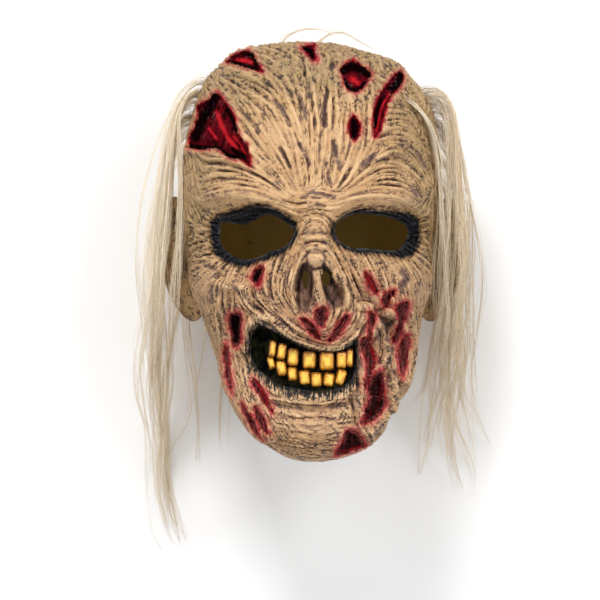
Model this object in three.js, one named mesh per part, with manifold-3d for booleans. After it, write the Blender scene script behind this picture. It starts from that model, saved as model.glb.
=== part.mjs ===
// A full-head rubber zombie mask lying on its back, with locks of long hair along both sides.
// Millimetres. +X runs to the right of the face as seen, +Y to the crown, +Z up out of the face.
// The head is shaped with Y = 0 at the nose and Z = 0 at the ears, and set on its flat back at the end.

import * as THREE from "three";
import { mergeVertices } from "three/addons/utils/BufferGeometryUtils.js";
import Module from "manifold-3d";

const wasm = await Module();
wasm.setup();

// Shell
const halfHeight = 142.5;
const wall = 3.2;
const squareness = 2.3;
const flatBack = -93;
const outerSteps = 16;
const innerSteps = 9;
const frontDensity = 1.75;

// Neck opening, cut off flat from under the chin to the nape
const rimFront = { y: -141, z: 46 };
const rimNape = { y: -80, z: -86 };

// Depths of the cuts below the skin
const woundDepth = 2;
const nostrilDepth = 9;
const lipDepth = 2.4;

// Teeth
const toothDepth = 9;
const toothRise = 6;
const toothBulge = 1.2;
const toothTaper = 0.12;
const cornerRounding = 0.14;

// Ears
const earSize = { halfWidth: 15, halfHeight: 43, halfThickness: 5.5, hollow: 5, lobeTaper: 0.35 };
const earPlace = { x: 90, y: -5, z: -9, leanBack: 32, splay: 5 };

// Hair
const lockSides = 5;
const lockSteps = 7;
const lockThickness = 2.6;
const rootGap = 0.7;
const rootLength = 6;
const halfWidest = 87;

const colours = {
  skin: 0xc99c66,
  hair: 0xcbb993,
};

// Sections of the head: height, half width left and right, depth of the widest line, front and back.
const sections = [
  [-140, 16, 20, 60, 72, 30],
  [-135, 25, 34, 56, 78, 0],
  [-125, 38, 45, 50, 84, -50],
  [-110, 51, 55, 40, 87, -70],
  [-90, 61.5, 67, 28, 89, -80],
  [-70, 66, 71, 18, 90, -84],
  [-50, 72, 73, 10, 90, -89],
  [-20, 81, 79, 2, 91, -97],
  [40, 87.5, 86.5, 0, 93, -103],
  [70, 86, 85.5, 0, 89, -99],
  [90, 81.5, 82.5, 0, 81, -92],
  [105, 77, 77, 0, 70, -83],
  [120, 69.5, 65, -2, 53, -68],
  [130, 60, 54, -3, 38, -54],
  [140, 37, 20, -4, 15, -26],
];

// Mounds and hollows over the face: centre, half width, half height, rise, and the turn in degrees.
// inner is the share of the rise that the inside of the shell follows.
const forms = {
  leftBrow: { x: -45, y: 38, wide: 32, high: 9, rise: 6, turn: -5, inner: 0.8 },
  rightBrow: { x: 47, y: 38, wide: 32, high: 9, rise: 6, turn: 5, inner: 0.8 },
  frown: { x: 2, y: 30, wide: 14, high: 14, rise: 4, turn: 0, inner: 0.8 },
  forehead: { x: 0, y: 88, wide: 50, high: 36, rise: 3, turn: 0, inner: 1 },
  leftSocket: { x: -39, y: 11, wide: 31, high: 18, rise: -10, turn: 4, inner: 1 },
  rightSocket: { x: 41, y: 13, wide: 31, high: 17, rise: -10, turn: -3, inner: 1 },
  noseBridge: { x: 2.5, y: 6, wide: 9, high: 25, rise: 9, turn: 0, inner: 0.35 },
  noseWings: { x: 4, y: -22, wide: 19, high: 19, rise: 9, turn: 0, inner: 0.35 },
  noseTip: { x: 2.5, y: -4, wide: 8, high: 8, rise: 9, turn: 0, inner: 0.2 },
  leftCheekbone: { x: -62, y: -22, wide: 22, high: 16, rise: 6, turn: 12, inner: 0.9 },
  rightCheekbone: { x: 62, y: -20, wide: 22, high: 16, rise: 6, turn: -12, inner: 0.9 },
  upperLip: { x: 4, y: -50, wide: 30, high: 13, rise: 7, turn: 0, inner: 0.7 },
  leftCheek: { x: -52, y: -72, wide: 15, high: 28, rise: -4, turn: 10, inner: 0.9 },
  rightCheek: { x: 52, y: -78, wide: 14, high: 28, rise: -5, turn: -10, inner: 0.9 },
  mouth: { x: -6, y: -74, wide: 34, high: 16, rise: -10, turn: 8, inner: 1 },
  lowerLip: { x: -2, y: -97, wide: 26, high: 6, rise: 3, turn: 0, inner: 0.7 },
  chin: { x: 3, y: -120, wide: 30, high: 16, rise: 7, turn: 0, inner: 0.8 },
  foreheadTear: { x: -65, y: 86, wide: 14, high: 19, rise: -3.5, turn: 20, inner: 1 },
  crownTear: { x: 30, y: 119, wide: 11, high: 9, rise: -3, turn: 0, inner: 1 },
  leftTear: { x: -52, y: -53, wide: 7, high: 13, rise: -2.5, turn: 0, inner: 1 },
  rightTear: { x: 43, y: -98, wide: 7, high: 18, rise: -3, turn: -12, inner: 1 },
};

// Outlines seen from the front, X and Y.
const eyeHoles = {
  left: [
    [-62.5, 8], [-62, 19], [-55, 20], [-48, 19], [-41, 21], [-35, 24.5], [-29, 25.5],
    [-22, 23], [-15, 18], [-12.5, 13], [-16, 6], [-22, 2], [-40, -4.5], [-48, -5], [-56, -1],
  ],
  right: [
    [15.5, 14], [17.5, 20], [24, 24.5], [32, 26], [44, 25], [54, 23], [61, 20], [65, 15],
    [63, 6], [58, 1.5], [46, 1.5], [32, 2.5], [24, 4.5], [18, 8.5],
  ],
};
const nostrilHoles = {
  left: [[-6.5, -19], [-5, -13], [-2.5, -15], [-3, -24], [-5, -25]],
  right: [[6, -18], [8.5, -13], [11.5, -15], [12, -20], [9.5, -24]],
};
const nostrils = {
  left: [[-6, -9], [-3, -12], [0, -16], [1.5, -24], [0, -33], [-2, -41], [-6, -42], [-10, -35], [-9, -22]],
  right: [[7, -11], [12, -10], [15, -16], [20, -26], [20, -33], [16, -37], [10, -31], [7.5, -22]],
};
const mouth = [
  [-42, -64], [-38, -52], [-31, -50.5], [-10, -63.5], [2, -67.5], [14, -68.5], [24, -66],
  [31, -60], [31, -80], [25, -89], [14, -93.5], [-4, -94], [-20, -91], [-32, -84], [-40, -75],
];
const wounds = {
  foreheadTear: [
    [-66, 109], [-61, 106], [-52, 92], [-49, 79], [-42, 68], [-41, 58], [-53, 63], [-63, 69],
    [-85, 70], [-83, 82], [-79, 101], [-71, 104],
  ],
  crownTearLeft: [[-60, 129], [-52, 136], [-41, 137], [-38, 131], [-32, 121], [-45, 125]],
  crownTearMiddle: [[-9, 140], [2, 142], [4, 130], [-2, 131]],
  crownTearRight: [[18, 125], [27, 131], [34, 128], [42, 120], [36, 112], [28, 108], [22, 113]],
  templeSlit: [[62, 124], [61, 114], [51, 105], [46, 91], [42, 78], [41, 96], [47, 113], [53, 120]],
  foreheadPit: [[24, 88], [28, 93], [32, 90], [33.5, 82], [30, 75.5], [26, 77]],
  cheekOval: [[-54, -41], [-48, -42], [-47, -54], [-52, -66], [-57, -55], [-57, -45]],
  cheekNarrow: [[-59, -64], [-56, -72], [-55, -94], [-59, -82]],
  mouthSlitLeft: [[-41, -86], [-34, -91], [-26, -110], [-34, -102]],
  jawSlitOuter: [[-47, -103], [-39, -111], [-34, -128], [-43, -113]],
  jawSlitInner: [[-38, -106], [-32, -113], [-29, -124], [-37, -116]],
  lipOval: [[1, -44], [4, -38], [8, -36], [10, -42], [8, -50], [5, -50]],
  lipSlitLeft: [[-7, -46], [2, -50], [5, -58]],
  lipSlitRight: [[24, -44], [20, -56], [12, -60]],
  cheekPit: [[46, -33], [49, -28], [57, -26], [53, -38]],
  cheekSlit: [[57, -38], [63, -33], [66, -37], [62, -50], [56, -61]],
  cheekFold: [[39, -41], [44, -40], [46, -46], [41, -60], [39, -58]],
  cheekEdge: [[60, -60], [66, -56], [65, -74], [62, -85], [58, -68]],
  mouthSlitRight: [[33, -60], [38, -58], [43, -72], [41, -84], [35, -94], [37, -80]],
  cheekTear: [[47, -80], [50, -102], [44, -114], [35, -116], [37, -104], [36, -94]],
  chinTear: [[22, -122], [29, -121], [36, -131], [28, -135], [17, -138], [20, -130]],
};

// Teeth: centre, width, height and turn in degrees.
const teeth = [
  [-27, -65.5, 5.4, 11, -6], [-20.8, -67.5, 6, 11, -8], [-13, -71.3, 8, 11.5, -3], [-2, -73.3, 9, 11.5, 0],
  [10, -74, 9.8, 12, 1], [20, -73.3, 6.4, 11, -2], [25.6, -72, 4.2, 11.5, 0],
  [-28, -75.2, 4.8, 8, 18], [-20.8, -79.2, 6.4, 10, 12], [-13.8, -83, 6.4, 9, 8], [-5.3, -85.5, 7.6, 9.6, 8],
  [3, -86.9, 7.4, 9, 0], [11.6, -86.6, 7.2, 8.8, -10], [19.8, -85.2, 5.6, 10, -16],
];

// Hair: the widest width of a lock, and its route from the scalp to the tip.
const locks = {
  hair_right_temple: {
    width: 8,
    route: [
      [66, 99, 44], [82, 86, 47], [91, 44, 36],
      [90, -20, 22], [80, -90, -40], [78, -157, -84],
    ],
  },
  hair_right_crown: {
    width: 8,
    route: [
      [74, 107, 0], [86, 106, 2], [96, 82, 10],
      [97, 10, 18], [92, -70, -24], [86, -140, -86],
    ],
  },
  hair_right_side: {
    width: 8,
    route: [
      [81, 91, -14], [93, 88, -12], [104, 40, 2],
      [106, -20, 4], [102, -90, -44], [108, -168, -88],
    ],
  },
  hair_right_ear: {
    width: 7,
    route: [
      [82, 80, -30], [98, 70, -32], [113, 20, -26],
      [115, -40, -30], [112, -90, -60], [123, -136, -88],
    ],
  },
  hair_right_back: {
    width: 8,
    route: [
      [76, 66, -52], [94, 62, -56], [106, 10, -58],
      [104, -60, -72], [98, -110, -86], [99, -165, -89],
    ],
  },
  hair_right_nape: {
    width: 6,
    route: [[66, 20, -68], [84, 10, -74], [92, -30, -80], [84, -80, -84], [72, -108, -88]],
  },
  hair_left_crown: {
    width: 8,
    route: [
      [-76, 109, 0], [-88, 108, 2], [-97, 80, 10],
      [-98, 10, 18], [-101, -70, -24], [-99, -166, -86],
    ],
  },
  hair_left_side: {
    width: 8,
    route: [
      [-81, 93, -14], [-93, 90, -12], [-105, 40, 2],
      [-108, -20, 4], [-112, -90, -44], [-92, -196, -88],
    ],
  },
  hair_left_ear: {
    width: 7,
    route: [
      [-82, 82, -30], [-98, 80, -32], [-115, 30, -26],
      [-120, -40, -30], [-121, -90, -60], [-112, -190, -88],
    ],
  },
  hair_left_back: {
    width: 8,
    route: [
      [-77, 68, -52], [-94, 62, -56], [-107, 10, -58],
      [-104, -60, -70], [-103, -110, -86], [-106, -160, -89],
    ],
  },
  hair_left_nape: {
    width: 6,
    route: [[-67, 20, -68], [-84, 10, -74], [-90, -40, -80], [-82, -90, -84], [-79, -145, -88]],
  },
  hair_left_neck: {
    width: 5,
    route: [[-54, -30, -70], [-62, -50, -84], [-63, -90, -88], [-63, -132, -89]],
  },
  hair_crown_left: {
    width: 3,
    route: [[-23, 142, -4], [-15, 148, 0], [-3, 151, 2], [10, 149, 6], [18, 141, 10]],
  },
  hair_crown_right: {
    width: 3.5,
    route: [[0, 143, -16], [9, 148, -14], [20, 149.5, -10], [32, 143, -8], [43, 137, -4]],
  },
};

// Smooth curves through the sections, kept as shares of the plain round so that crown and chin close round.
const shares = sections.map(([y, left, right, middle, front, back]) => {
  const round = Math.sqrt(1 - (y / halfHeight) ** 2);
  return [left / round, right / round, middle, (front - middle) / round, (middle - back) / round];
});
const profile = new THREE.CubicInterpolant(
  sections.map(([y]) => y),
  shares.flat(),
  shares[0].length,
);

// The plain head surface in a direction from its middle, with the direction to push it out along.
function headPoint(direction) {
  const y = halfHeight * direction.y;
  const [left, right, middle, front, back] = profile.evaluate(y);
  const halfWidth = direction.x < 0 ? left : right;
  const halfDepth = direction.z < 0 ? back : front;
  const round = Math.max(Math.hypot(direction.x, direction.z), 1e-6);
  const across = direction.x / round;
  const deep = direction.z / round;
  const corner = (Math.abs(across) ** squareness + Math.abs(deep) ** squareness) ** (-1 / squareness);
  const x = halfWidth * round * corner * across;
  const z = halfDepth * round * corner * deep;
  const out = new THREE.Vector3(x / halfWidth ** 2, y / halfHeight ** 2, z / halfDepth ** 2).normalize();
  return { point: new THREE.Vector3(x, y, middle + z), out };
}

function bell(form, x, y) {
  const turn = THREE.MathUtils.degToRad(form.turn);
  const dx = x - form.x;
  const dy = y - form.y;
  const u = (dx * Math.cos(turn) + dy * Math.sin(turn)) / form.wide;
  const v = (dy * Math.cos(turn) - dx * Math.sin(turn)) / form.high;
  return Math.exp(-u * u - v * v);
}

// How far the modelling of the face stands out of the plain head.
function rise(point, inside) {
  const facing = THREE.MathUtils.smoothstep(point.z, -5, 30);
  let sum = 0;
  for (const form of Object.values(forms)) {
    sum += form.rise * (inside ? form.inner : 1) * bell(form, point.x, point.y);
  }
  return sum * facing;
}

// A closed geometry as a solid.
function solid(geometry) {
  geometry.deleteAttribute("normal");
  geometry.deleteAttribute("uv");
  const merged = mergeVertices(geometry, 1e-4);
  return new wasm.Manifold(
    new wasm.Mesh({
      numProp: 3,
      vertProperties: merged.attributes.position.array,
      triVerts: new Uint32Array(merged.index.array),
    }),
  );
}

function joined(solids) {
  return solids.reduce((whole, next) => whole.add(next));
}

// A cube blown up to a ball, with its steps gathered towards the face.
function ballDirection(corner) {
  const even = corner.clone();
  even.set(...even.toArray().map((step) => Math.tan((step * Math.PI) / 4))).normalize();
  if (even.z < -0.999999) return even;
  const u = even.x / (1 + even.z) / frontDensity;
  const v = even.y / (1 + even.z) / frontDensity;
  const spread = 1 + u * u + v * v;
  return new THREE.Vector3((2 * u) / spread, (2 * v) / spread, (1 - u * u - v * v) / spread);
}

// The whole closed head, set in from the skin by a distance.
function head(steps, inset, inside) {
  const geometry = new THREE.BoxGeometry(2, 2, 2, steps, steps, steps);
  const corners = geometry.attributes.position;
  const corner = new THREE.Vector3();
  for (let i = 0; i < corners.count; i++) {
    corner.fromBufferAttribute(corners, i);
    const { point, out } = headPoint(ballDirection(corner));
    point.addScaledVector(out, rise(point, inside) - inset);
    point.z = Math.max(point.z, flatBack + inset);
    corners.setXYZ(i, point.x, point.y, point.z);
  }
  return solid(geometry);
}

// An outline seen from the front, run straight back through the face.
function punch(outline) {
  const shape = new THREE.Shape(outline.map(([x, y]) => new THREE.Vector2(x, y)));
  const geometry = new THREE.ExtrudeGeometry(shape, { depth: 140, bevelEnabled: false });
  return solid(geometry);
}

// A recess with the given outlines, cut to an even depth below the skin.
function recess(outlines, depth) {
  return joined(outlines.map(punch)).subtract(head(outerSteps, depth, false));
}

// Everything below the neck rim.
function belowRim() {
  const block = new THREE.BoxGeometry(400, 300, 400);
  block.translate(0, -150, 0);
  block.rotateX(Math.atan2(rimNape.y - rimFront.y, rimFront.z - rimNape.z));
  block.translate(0, rimFront.y, rimFront.z);
  return solid(block);
}

// An ear: a flat oval cup with a soft lobe, leaning back from the head.
function ear(side) {
  const geometry = new THREE.SphereGeometry(1, 10, 9);
  const corners = geometry.attributes.position;
  for (let i = 0; i < corners.count; i++) {
    const across = corners.getX(i);
    const up = corners.getY(i);
    const cup = Math.max(0, 1 - (across / 0.75) ** 2 - ((up - 0.15) / 0.75) ** 2);
    const hollow = corners.getZ(i) > 0 ? earSize.hollow * cup : 0;
    const narrow = 1 - earSize.lobeTaper * Math.max(0, -up);
    const depth = corners.getZ(i) * earSize.halfThickness - hollow;
    corners.setXYZ(i, across * earSize.halfWidth * narrow, up * earSize.halfHeight, depth);
  }
  geometry.rotateY(side * THREE.MathUtils.degToRad(earPlace.leanBack));
  geometry.rotateZ(-side * THREE.MathUtils.degToRad(earPlace.splay));
  geometry.translate(side * earPlace.x, earPlace.y, earPlace.z);
  return solid(geometry);
}

// One tooth: a block with rounded corners and a bulging face.
function tooth(floor, x, y, width, height, turn) {
  const geometry = new THREE.BoxGeometry(width, height, toothDepth, 2, 2, 1);
  const corners = geometry.attributes.position;
  for (let i = 0; i < corners.count; i++) {
    const u = (2 * corners.getX(i)) / width;
    const v = (2 * corners.getY(i)) / height;
    const front = corners.getZ(i) > 0 ? 1 : 0;
    const pull = 1 - cornerRounding * Math.abs(u * v) - toothTaper * front;
    const bulge = front * toothBulge * (u * u + v * v);
    corners.setXYZ(i, (u * pull * width) / 2, (v * pull * height) / 2, corners.getZ(i) - bulge);
  }
  geometry.rotateZ(THREE.MathUtils.degToRad(turn));
  geometry.translate(x, y, floor + toothRise - toothDepth / 2);
  return solid(geometry);
}

// Depth of a solid's front under a point, seen from the front.
function frontDepth(body, x, y) {
  const ray = new THREE.Raycaster(new THREE.Vector3(x, y, 300), new THREE.Vector3(0, 0, -1));
  return ray.intersectObject(body)[0].point.z;
}

function meshOf(made, name, colour, roughness) {
  const data = made.getMesh();
  const geometry = new THREE.BufferGeometry();
  geometry.setAttribute("position", new THREE.BufferAttribute(new Float32Array(data.vertProperties), 3));
  geometry.setIndex(new THREE.BufferAttribute(new Uint32Array(data.triVerts), 1));
  geometry.computeVertexNormals();
  const material = new THREE.MeshStandardMaterial({ color: colour, roughness, metalness: 0 });
  const mesh = new THREE.Mesh(geometry, material);
  mesh.name = name;
  return mesh;
}

function maskShell() {
  const outer = joined([head(outerSteps, 0, false), ear(-1), ear(1)])
    .subtract(recess(Object.values(wounds), woundDepth))
    .subtract(recess([mouth], lipDepth))
    .subtract(recess(Object.values(nostrils), nostrilDepth));
  const surface = meshOf(outer, "surface", colours.skin, 1);
  const row = teeth.map(([x, y, width, height, turn]) =>
    tooth(frontDepth(surface, x, y), x, y, width, height, turn),
  );
  const holes = [...Object.values(eyeHoles), ...Object.values(nostrilHoles)];
  const shell = joined([outer, ...row])
    .subtract(head(innerSteps, wall, true))
    .subtract(joined(holes.map(punch)))
    .subtract(belowRim());
  return meshOf(shell, "mask_shell", colours.skin, 0.55);
}

// The way out of the scalp that a lock takes: just off the skin, and then straight out.
function rootOf(place) {
  const [x, y, z] = place;
  const direction = new THREE.Vector3(x / halfWidest, y / halfHeight, z / -flatBack).normalize();
  const { point, out } = headPoint(direction);
  return [rootGap, rootLength].map((distance) => point.clone().addScaledVector(out, distance));
}

// A lock of hair: a flat tapered band of closed rings along its route.
function lock(name, width, [root, ...route]) {
  const places = [...rootOf(root), ...route.map((place) => new THREE.Vector3(...place))];
  const curve = new THREE.CatmullRomCurve3(places, false, "centripetal");
  const positions = [];
  const faces = [];
  for (let ring = 0; ring <= lockSteps; ring++) {
    const t = ring / lockSteps;
    const centre = curve.getPointAt(t);
    const along = curve.getTangentAt(t);
    const side = new THREE.Vector3().crossVectors(along, new THREE.Vector3(0, 0, 1)).normalize();
    const up = new THREE.Vector3().crossVectors(side, along);
    const fullness = Math.min(1, 0.45 + 2.2 * t) * Math.min(1, 0.15 + 2.4 * (1 - t));
    for (let k = 0; k < lockSides; k++) {
      const angle = (2 * Math.PI * k) / lockSides;
      const place = centre
        .clone()
        .addScaledVector(side, (Math.cos(angle) * fullness * width) / 2)
        .addScaledVector(up, (Math.sin(angle) * fullness * lockThickness) / 2);
      positions.push(place.x, place.y, place.z);
    }
  }
  for (let ring = 0; ring < lockSteps; ring++) {
    for (let k = 0; k < lockSides; k++) {
      const a = ring * lockSides + k;
      const b = ring * lockSides + ((k + 1) % lockSides);
      faces.push(a, a + lockSides, b, b, a + lockSides, b + lockSides);
    }
  }
  const last = lockSteps * lockSides;
  for (let k = 1; k < lockSides - 1; k++) {
    faces.push(0, k, k + 1, last, last + k + 1, last + k);
  }
  const geometry = new THREE.BufferGeometry();
  geometry.setAttribute("position", new THREE.Float32BufferAttribute(positions, 3));
  geometry.setIndex(faces);
  geometry.computeVertexNormals();
  const material = new THREE.MeshStandardMaterial({ color: colours.hair, roughness: 0.7, metalness: 0 });
  const mesh = new THREE.Mesh(geometry, material);
  mesh.name = name;
  return mesh;
}

const mask = new THREE.Group();
mask.add(maskShell());
for (const [name, { width, route }] of Object.entries(locks)) {
  mask.add(lock(name, width, route));
}

// Set down with the middle of its footprint at the origin and its flat back at Z = 0.
const box = new THREE.Box3().setFromObject(mask);
mask.position.set(-(box.min.x + box.max.x) / 2, -(box.min.y + box.max.y) / 2, -box.min.z);

const group = new THREE.Group();
group.add(mask);
export default group;
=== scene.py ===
# A rubber zombie mask lying on its back, with locks of long hair along both sides.
# Shapes are worked out in millimetres, with Y = 0 at the nose and Z = 0 at the ears, and a mesh
# becomes metres in the row's frame when it is made. "Seen" means as the camera sees it, on the
# plane through the ears.

import math
from functools import reduce

import bpy
import numpy as np
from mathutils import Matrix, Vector, kdtree, noise


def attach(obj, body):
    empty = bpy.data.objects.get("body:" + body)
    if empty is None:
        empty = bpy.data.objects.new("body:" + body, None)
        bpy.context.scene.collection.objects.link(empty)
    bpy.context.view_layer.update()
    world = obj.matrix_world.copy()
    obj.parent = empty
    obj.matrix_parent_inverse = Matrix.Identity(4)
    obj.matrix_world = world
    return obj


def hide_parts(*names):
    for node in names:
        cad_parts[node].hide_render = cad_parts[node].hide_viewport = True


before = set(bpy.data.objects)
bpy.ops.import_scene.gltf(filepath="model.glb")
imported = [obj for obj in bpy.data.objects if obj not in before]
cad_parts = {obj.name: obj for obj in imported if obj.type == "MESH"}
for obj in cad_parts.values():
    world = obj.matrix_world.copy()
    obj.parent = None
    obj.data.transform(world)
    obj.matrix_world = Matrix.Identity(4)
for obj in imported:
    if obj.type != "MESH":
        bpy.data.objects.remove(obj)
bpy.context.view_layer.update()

# From the shaping frame to the row's frame, in millimetres
SHIFT = np.array([0.639, 22.028, 93.0])

# Camera, straight above the mask, with its furthest clear depth in metres
CAMERA_HEIGHT = 4000.0
AIM = np.array([-8.2, -32.6])
VIEW_WIDTH = 408.0
SENSOR = 36.0
CLIP_END = 20.0

# Shell: half sizes of the plain head, squareness of its sections, flat spot behind and wall
HALF_HEIGHT = 142.5
HALF_WIDTH = 87.0
SQUARENESS = 2.3
FLAT_BACK = -93.0
WALL = 3.2

# Depths over which the modelling and the paint of the face fade in from the sides of the head
FORM_FADE = (-5, 30)
FACE_FADE = (0, 25)

# Search for the place that the camera sees: first depth, rounds, and height where the head ends
FACE_DEPTH = 80.0
DEPTH_ROUNDS = 4
HEAD_REACH = 142.0

# Grids of the shell: steps along each axis, how closely they gather in front, and the angle in
# degrees from which an edge stays sharp
OUTER_STEPS = (100, 150, 88)
INNER_STEPS = (44, 60, 40)
FRONT_DENSITY = 1.75
INNER_DENSITY = 1.3
SHARP_ANGLE = 70

# Cuts: height and depth of the neck rim in front and behind, size of the block that cuts it, and
# depths between which the eye holes and nostrils are cut
RIM_FRONT = (-141.0, 46.0)
RIM_NAPE = (-80.0, -86.0)
BLOCK_SIZE = 200.0
HOLE_DEPTHS = (40.0, 140.0)

# How far from an outline its distance is measured, and how many parts round off each corner
OUTLINE_REACH = 8.0
OUTLINE_PARTS = 4

# Sections of the head: height, half width left and right, depth of the widest line, front, back.
SECTIONS = np.array([
    [-140, 16, 20, 60, 72, 30],
    [-135, 25, 34, 56, 78, 0],
    [-125, 38, 45, 50, 84, -50],
    [-110, 51, 55, 40, 87, -70],
    [-90, 61.5, 67, 28, 89, -80],
    [-70, 66, 71, 18, 90, -84],
    [-50, 72, 73, 10, 90, -89],
    [-20, 81, 79, 2, 91, -97],
    [40, 87.5, 86.5, 0, 93, -103],
    [70, 86, 85.5, 0, 89, -99],
    [90, 81.5, 82.5, 0, 81, -92],
    [105, 77, 77, 0, 70, -83],
    [120, 69.5, 65, -2, 53, -68],
    [130, 60, 54, -3, 38, -54],
    [140, 37, 20, -4, 15, -26],
], float)

# Mounds and hollows: x, y, half width, half height, rise, turn in degrees, share inside.
FORMS = [
    (-45, 38, 32, 9, 6, -5, 0.8), (47, 38, 32, 9, 6, 5, 0.8), (2, 30, 14, 14, 4, 0, 0.8),
    (0, 88, 50, 36, 3, 0, 1), (-39, 11, 31, 18, -10, 4, 1), (41, 13, 31, 17, -10, -3, 1),
    (2.5, 6, 9, 25, 9, 0, 0.35), (4, -22, 19, 19, 9, 0, 0.35), (2.5, -4, 8, 8, 9, 0, 0.2),
    (-62, -22, 22, 16, 6, 12, 0.9), (62, -20, 22, 16, 6, -12, 0.9), (4, -50, 30, 13, 7, 0, 0.7),
    (-52, -72, 15, 28, -4, 10, 0.9), (52, -78, 14, 28, -5, -10, 0.9), (-6, -74, 34, 16, -10, 8, 1),
    (-2, -97, 26, 6, 3, 0, 0.7), (3, -120, 30, 16, 7, 0, 0.8), (-65, 86, 14, 19, -3.5, 20, 1),
    (30, 119, 11, 9, -3, 0, 1), (-52, -53, 7, 13, -2.5, 0, 1), (43, -98, 7, 18, -3, -12, 1),
]

# Lines that the wrinkles follow, as seen.
GUIDES = [
    [(0, 45), (-1, 70), (-2, 100), (-2, 125)],
    [(5, 45), (7, 70), (8, 100), (8, 130)],
    [(-3, 58), (-8, 72), (-12, 80), (-20, 95), (-27, 104)],
    [(-6, 45), (-9, 70), (-13, 90), (-20, 110), (-26, 118)],
    [(-12, 42), (-20, 60), (-32, 80), (-44, 98), (-55, 112)],
    [(-20, 40), (-30, 52), (-40, 62), (-48, 70)],
    [(-20, 40), (-30, 48), (-45, 55), (-55, 57), (-68, 57)],
    [(-20, 42), (-35, 47), (-50, 50), (-65, 50), (-75, 45)],
    [(12, 45), (17, 60), (20, 80), (20, 105), (19, 125)],
    [(15, 42), (25, 60), (29, 75)],
    [(36, 60), (37, 80), (36, 100), (35, 112)],
    [(20, 40), (32, 50), (45, 58), (58, 58), (68, 50), (74, 38)],
    [(32, 60), (40, 72), (52, 77), (62, 77), (72, 68), (79, 52), (82, 35)],
    [(48, 85), (58, 88), (68, 85), (76, 72)],
    [(52, 100), (60, 101), (67, 97), (73, 85), (78, 70)],
    [(55, 110), (64, 106), (70, 98)],
    [(-62, 120), (-50, 113), (-40, 107), (-30, 100)],
    [(-60, 122), (-45, 118), (-30, 110)],
    [(-82, 60), (-78, 40), (-76, 20)],
    [(-67, 10), (-85, 5)],
    [(-68, 5), (-84, -3)],
    [(-68, 16), (-84, 16)],
    [(-66, -2), (-84, -4)],
    [(-66, 18), (-76, 22), (-80, 35)],
    [(-70, 25), (-80, 38), (-82, 55)],
    [(-60, -6), (-66, -14), (-75, -25)],
    [(-50, -10), (-52, -20), (-56, -38)],
    [(-40, -8), (-43, -20), (-45, -32), (-40, -42)],
    [(-30, -5), (-32, -18), (-30, -30), (-22, -40)],
    [(-20, 2), (-24, -10), (-24, -20), (-18, -35), (-12, -42)],
    [(-14, 5), (-20, -8), (-25, -18)],
    [(-48, -28), (-40, -38), (-25, -47), (-10, -60), (5, -66)],
    [(-45, -40), (-30, -42), (-20, -48), (-10, -56), (5, -62), (15, -64)],
    [(8, 20), (15, 8), (22, -5), (28, -20), (32, -32)],
    [(10, 22), (28, -12)],
    [(-4, 20), (-10, 5), (-15, -10), (-20, -25)],
    [(-5, 22), (2, 24), (10, 21)],
    [(-4, 15), (8, 15)],
    [(-6, 3), (2, 6), (8, 3)],
    [(-12, 30), (2, 32), (16, 30)],
    [(-10, 38), (4, 42), (20, 38)],
    [(30, 0), (30, -15), (36, -28)],
    [(40, -3), (42, -12)],
    [(50, -2), (53, -12), (54, -22)],
    [(60, -5), (64, -15), (68, -28), (70, -40)],
    [(70, 5), (80, -2)],
    [(70, 15), (79, 18)],
    [(70, 25), (76, 35), (80, 50)],
    [(72, -5), (79, -12)],
    [(22, -5), (28, -20), (36, -32), (40, -40)],
    [(50, -45), (52, -55), (52, -65)],
    [(45, -45), (48, -60), (46, -78)],
    [(58, -60), (55, -80), (55, -100), (48, -115)],
    [(68, -50), (68, -70), (64, -90), (58, -105)],
    [(30, -62), (33, -75), (33, -88), (30, -98), (32, -110), (38, -120)],
    [(12, -58), (20, -50), (24, -40), (26, -30)],
    [(25, -62), (32, -55), (38, -45)],
    [(20, -68), (28, -64), (33, -58)],
    [(-25, -100), (-5, -103), (20, -102)],
    [(-25, -110), (0, -112), (25, -112)],
    [(-30, -120), (0, -121), (22, -119)],
    [(-30, -130), (0, -132), (15, -130)],
    [(-45, -85), (-38, -100), (-30, -115), (-25, -130)],
    [(-60, -60), (-58, -80), (-50, -100), (-40, -115)],
    [(-65, -35), (-64, -55), (-61, -75)],
    [(-45, -45), (-46, -60), (-46, -75), (-42, -85)],
    [(-72, 30), (-60, 35), (-45, 38), (-30, 36), (-16, 31), (-8, 27)],
    [(-62, 26), (-50, 30), (-38, 33), (-25, 31), (-13, 25)],
    [(14, 26), (25, 32), (38, 35), (52, 34), (66, 30), (74, 22)],
    [(12, 32), (24, 38), (40, 41), (56, 40), (70, 34)],
]

# Smooth places with few lines, as seen: x, y, half width, half height and how much is left.
SMOOTH = [
    (-44, 38, 27, 5, 0.35), (46, 37, 27, 5, 0.35), (2, 43, 12, 3.5, 0.5), (-57, -23, 13, 6, 0.45),
    (-73, -26, 7, 14, 0.4), (60, -15, 9, 8, 0.45), (72, -30, 6, 14, 0.5), (-27, 78, 8, 15, 0.5),
    (33, 66, 9, 8, 0.6), (-20, -42, 12, 5, 0.55), (-12, -24, 4, 14, 0.5), (23, -26, 4, 12, 0.5),
    (36, -42, 7, 6, 0.5), (0, -115, 28, 17, 0.34), (-5, 72, 46, 30, 0.62),
]

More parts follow.
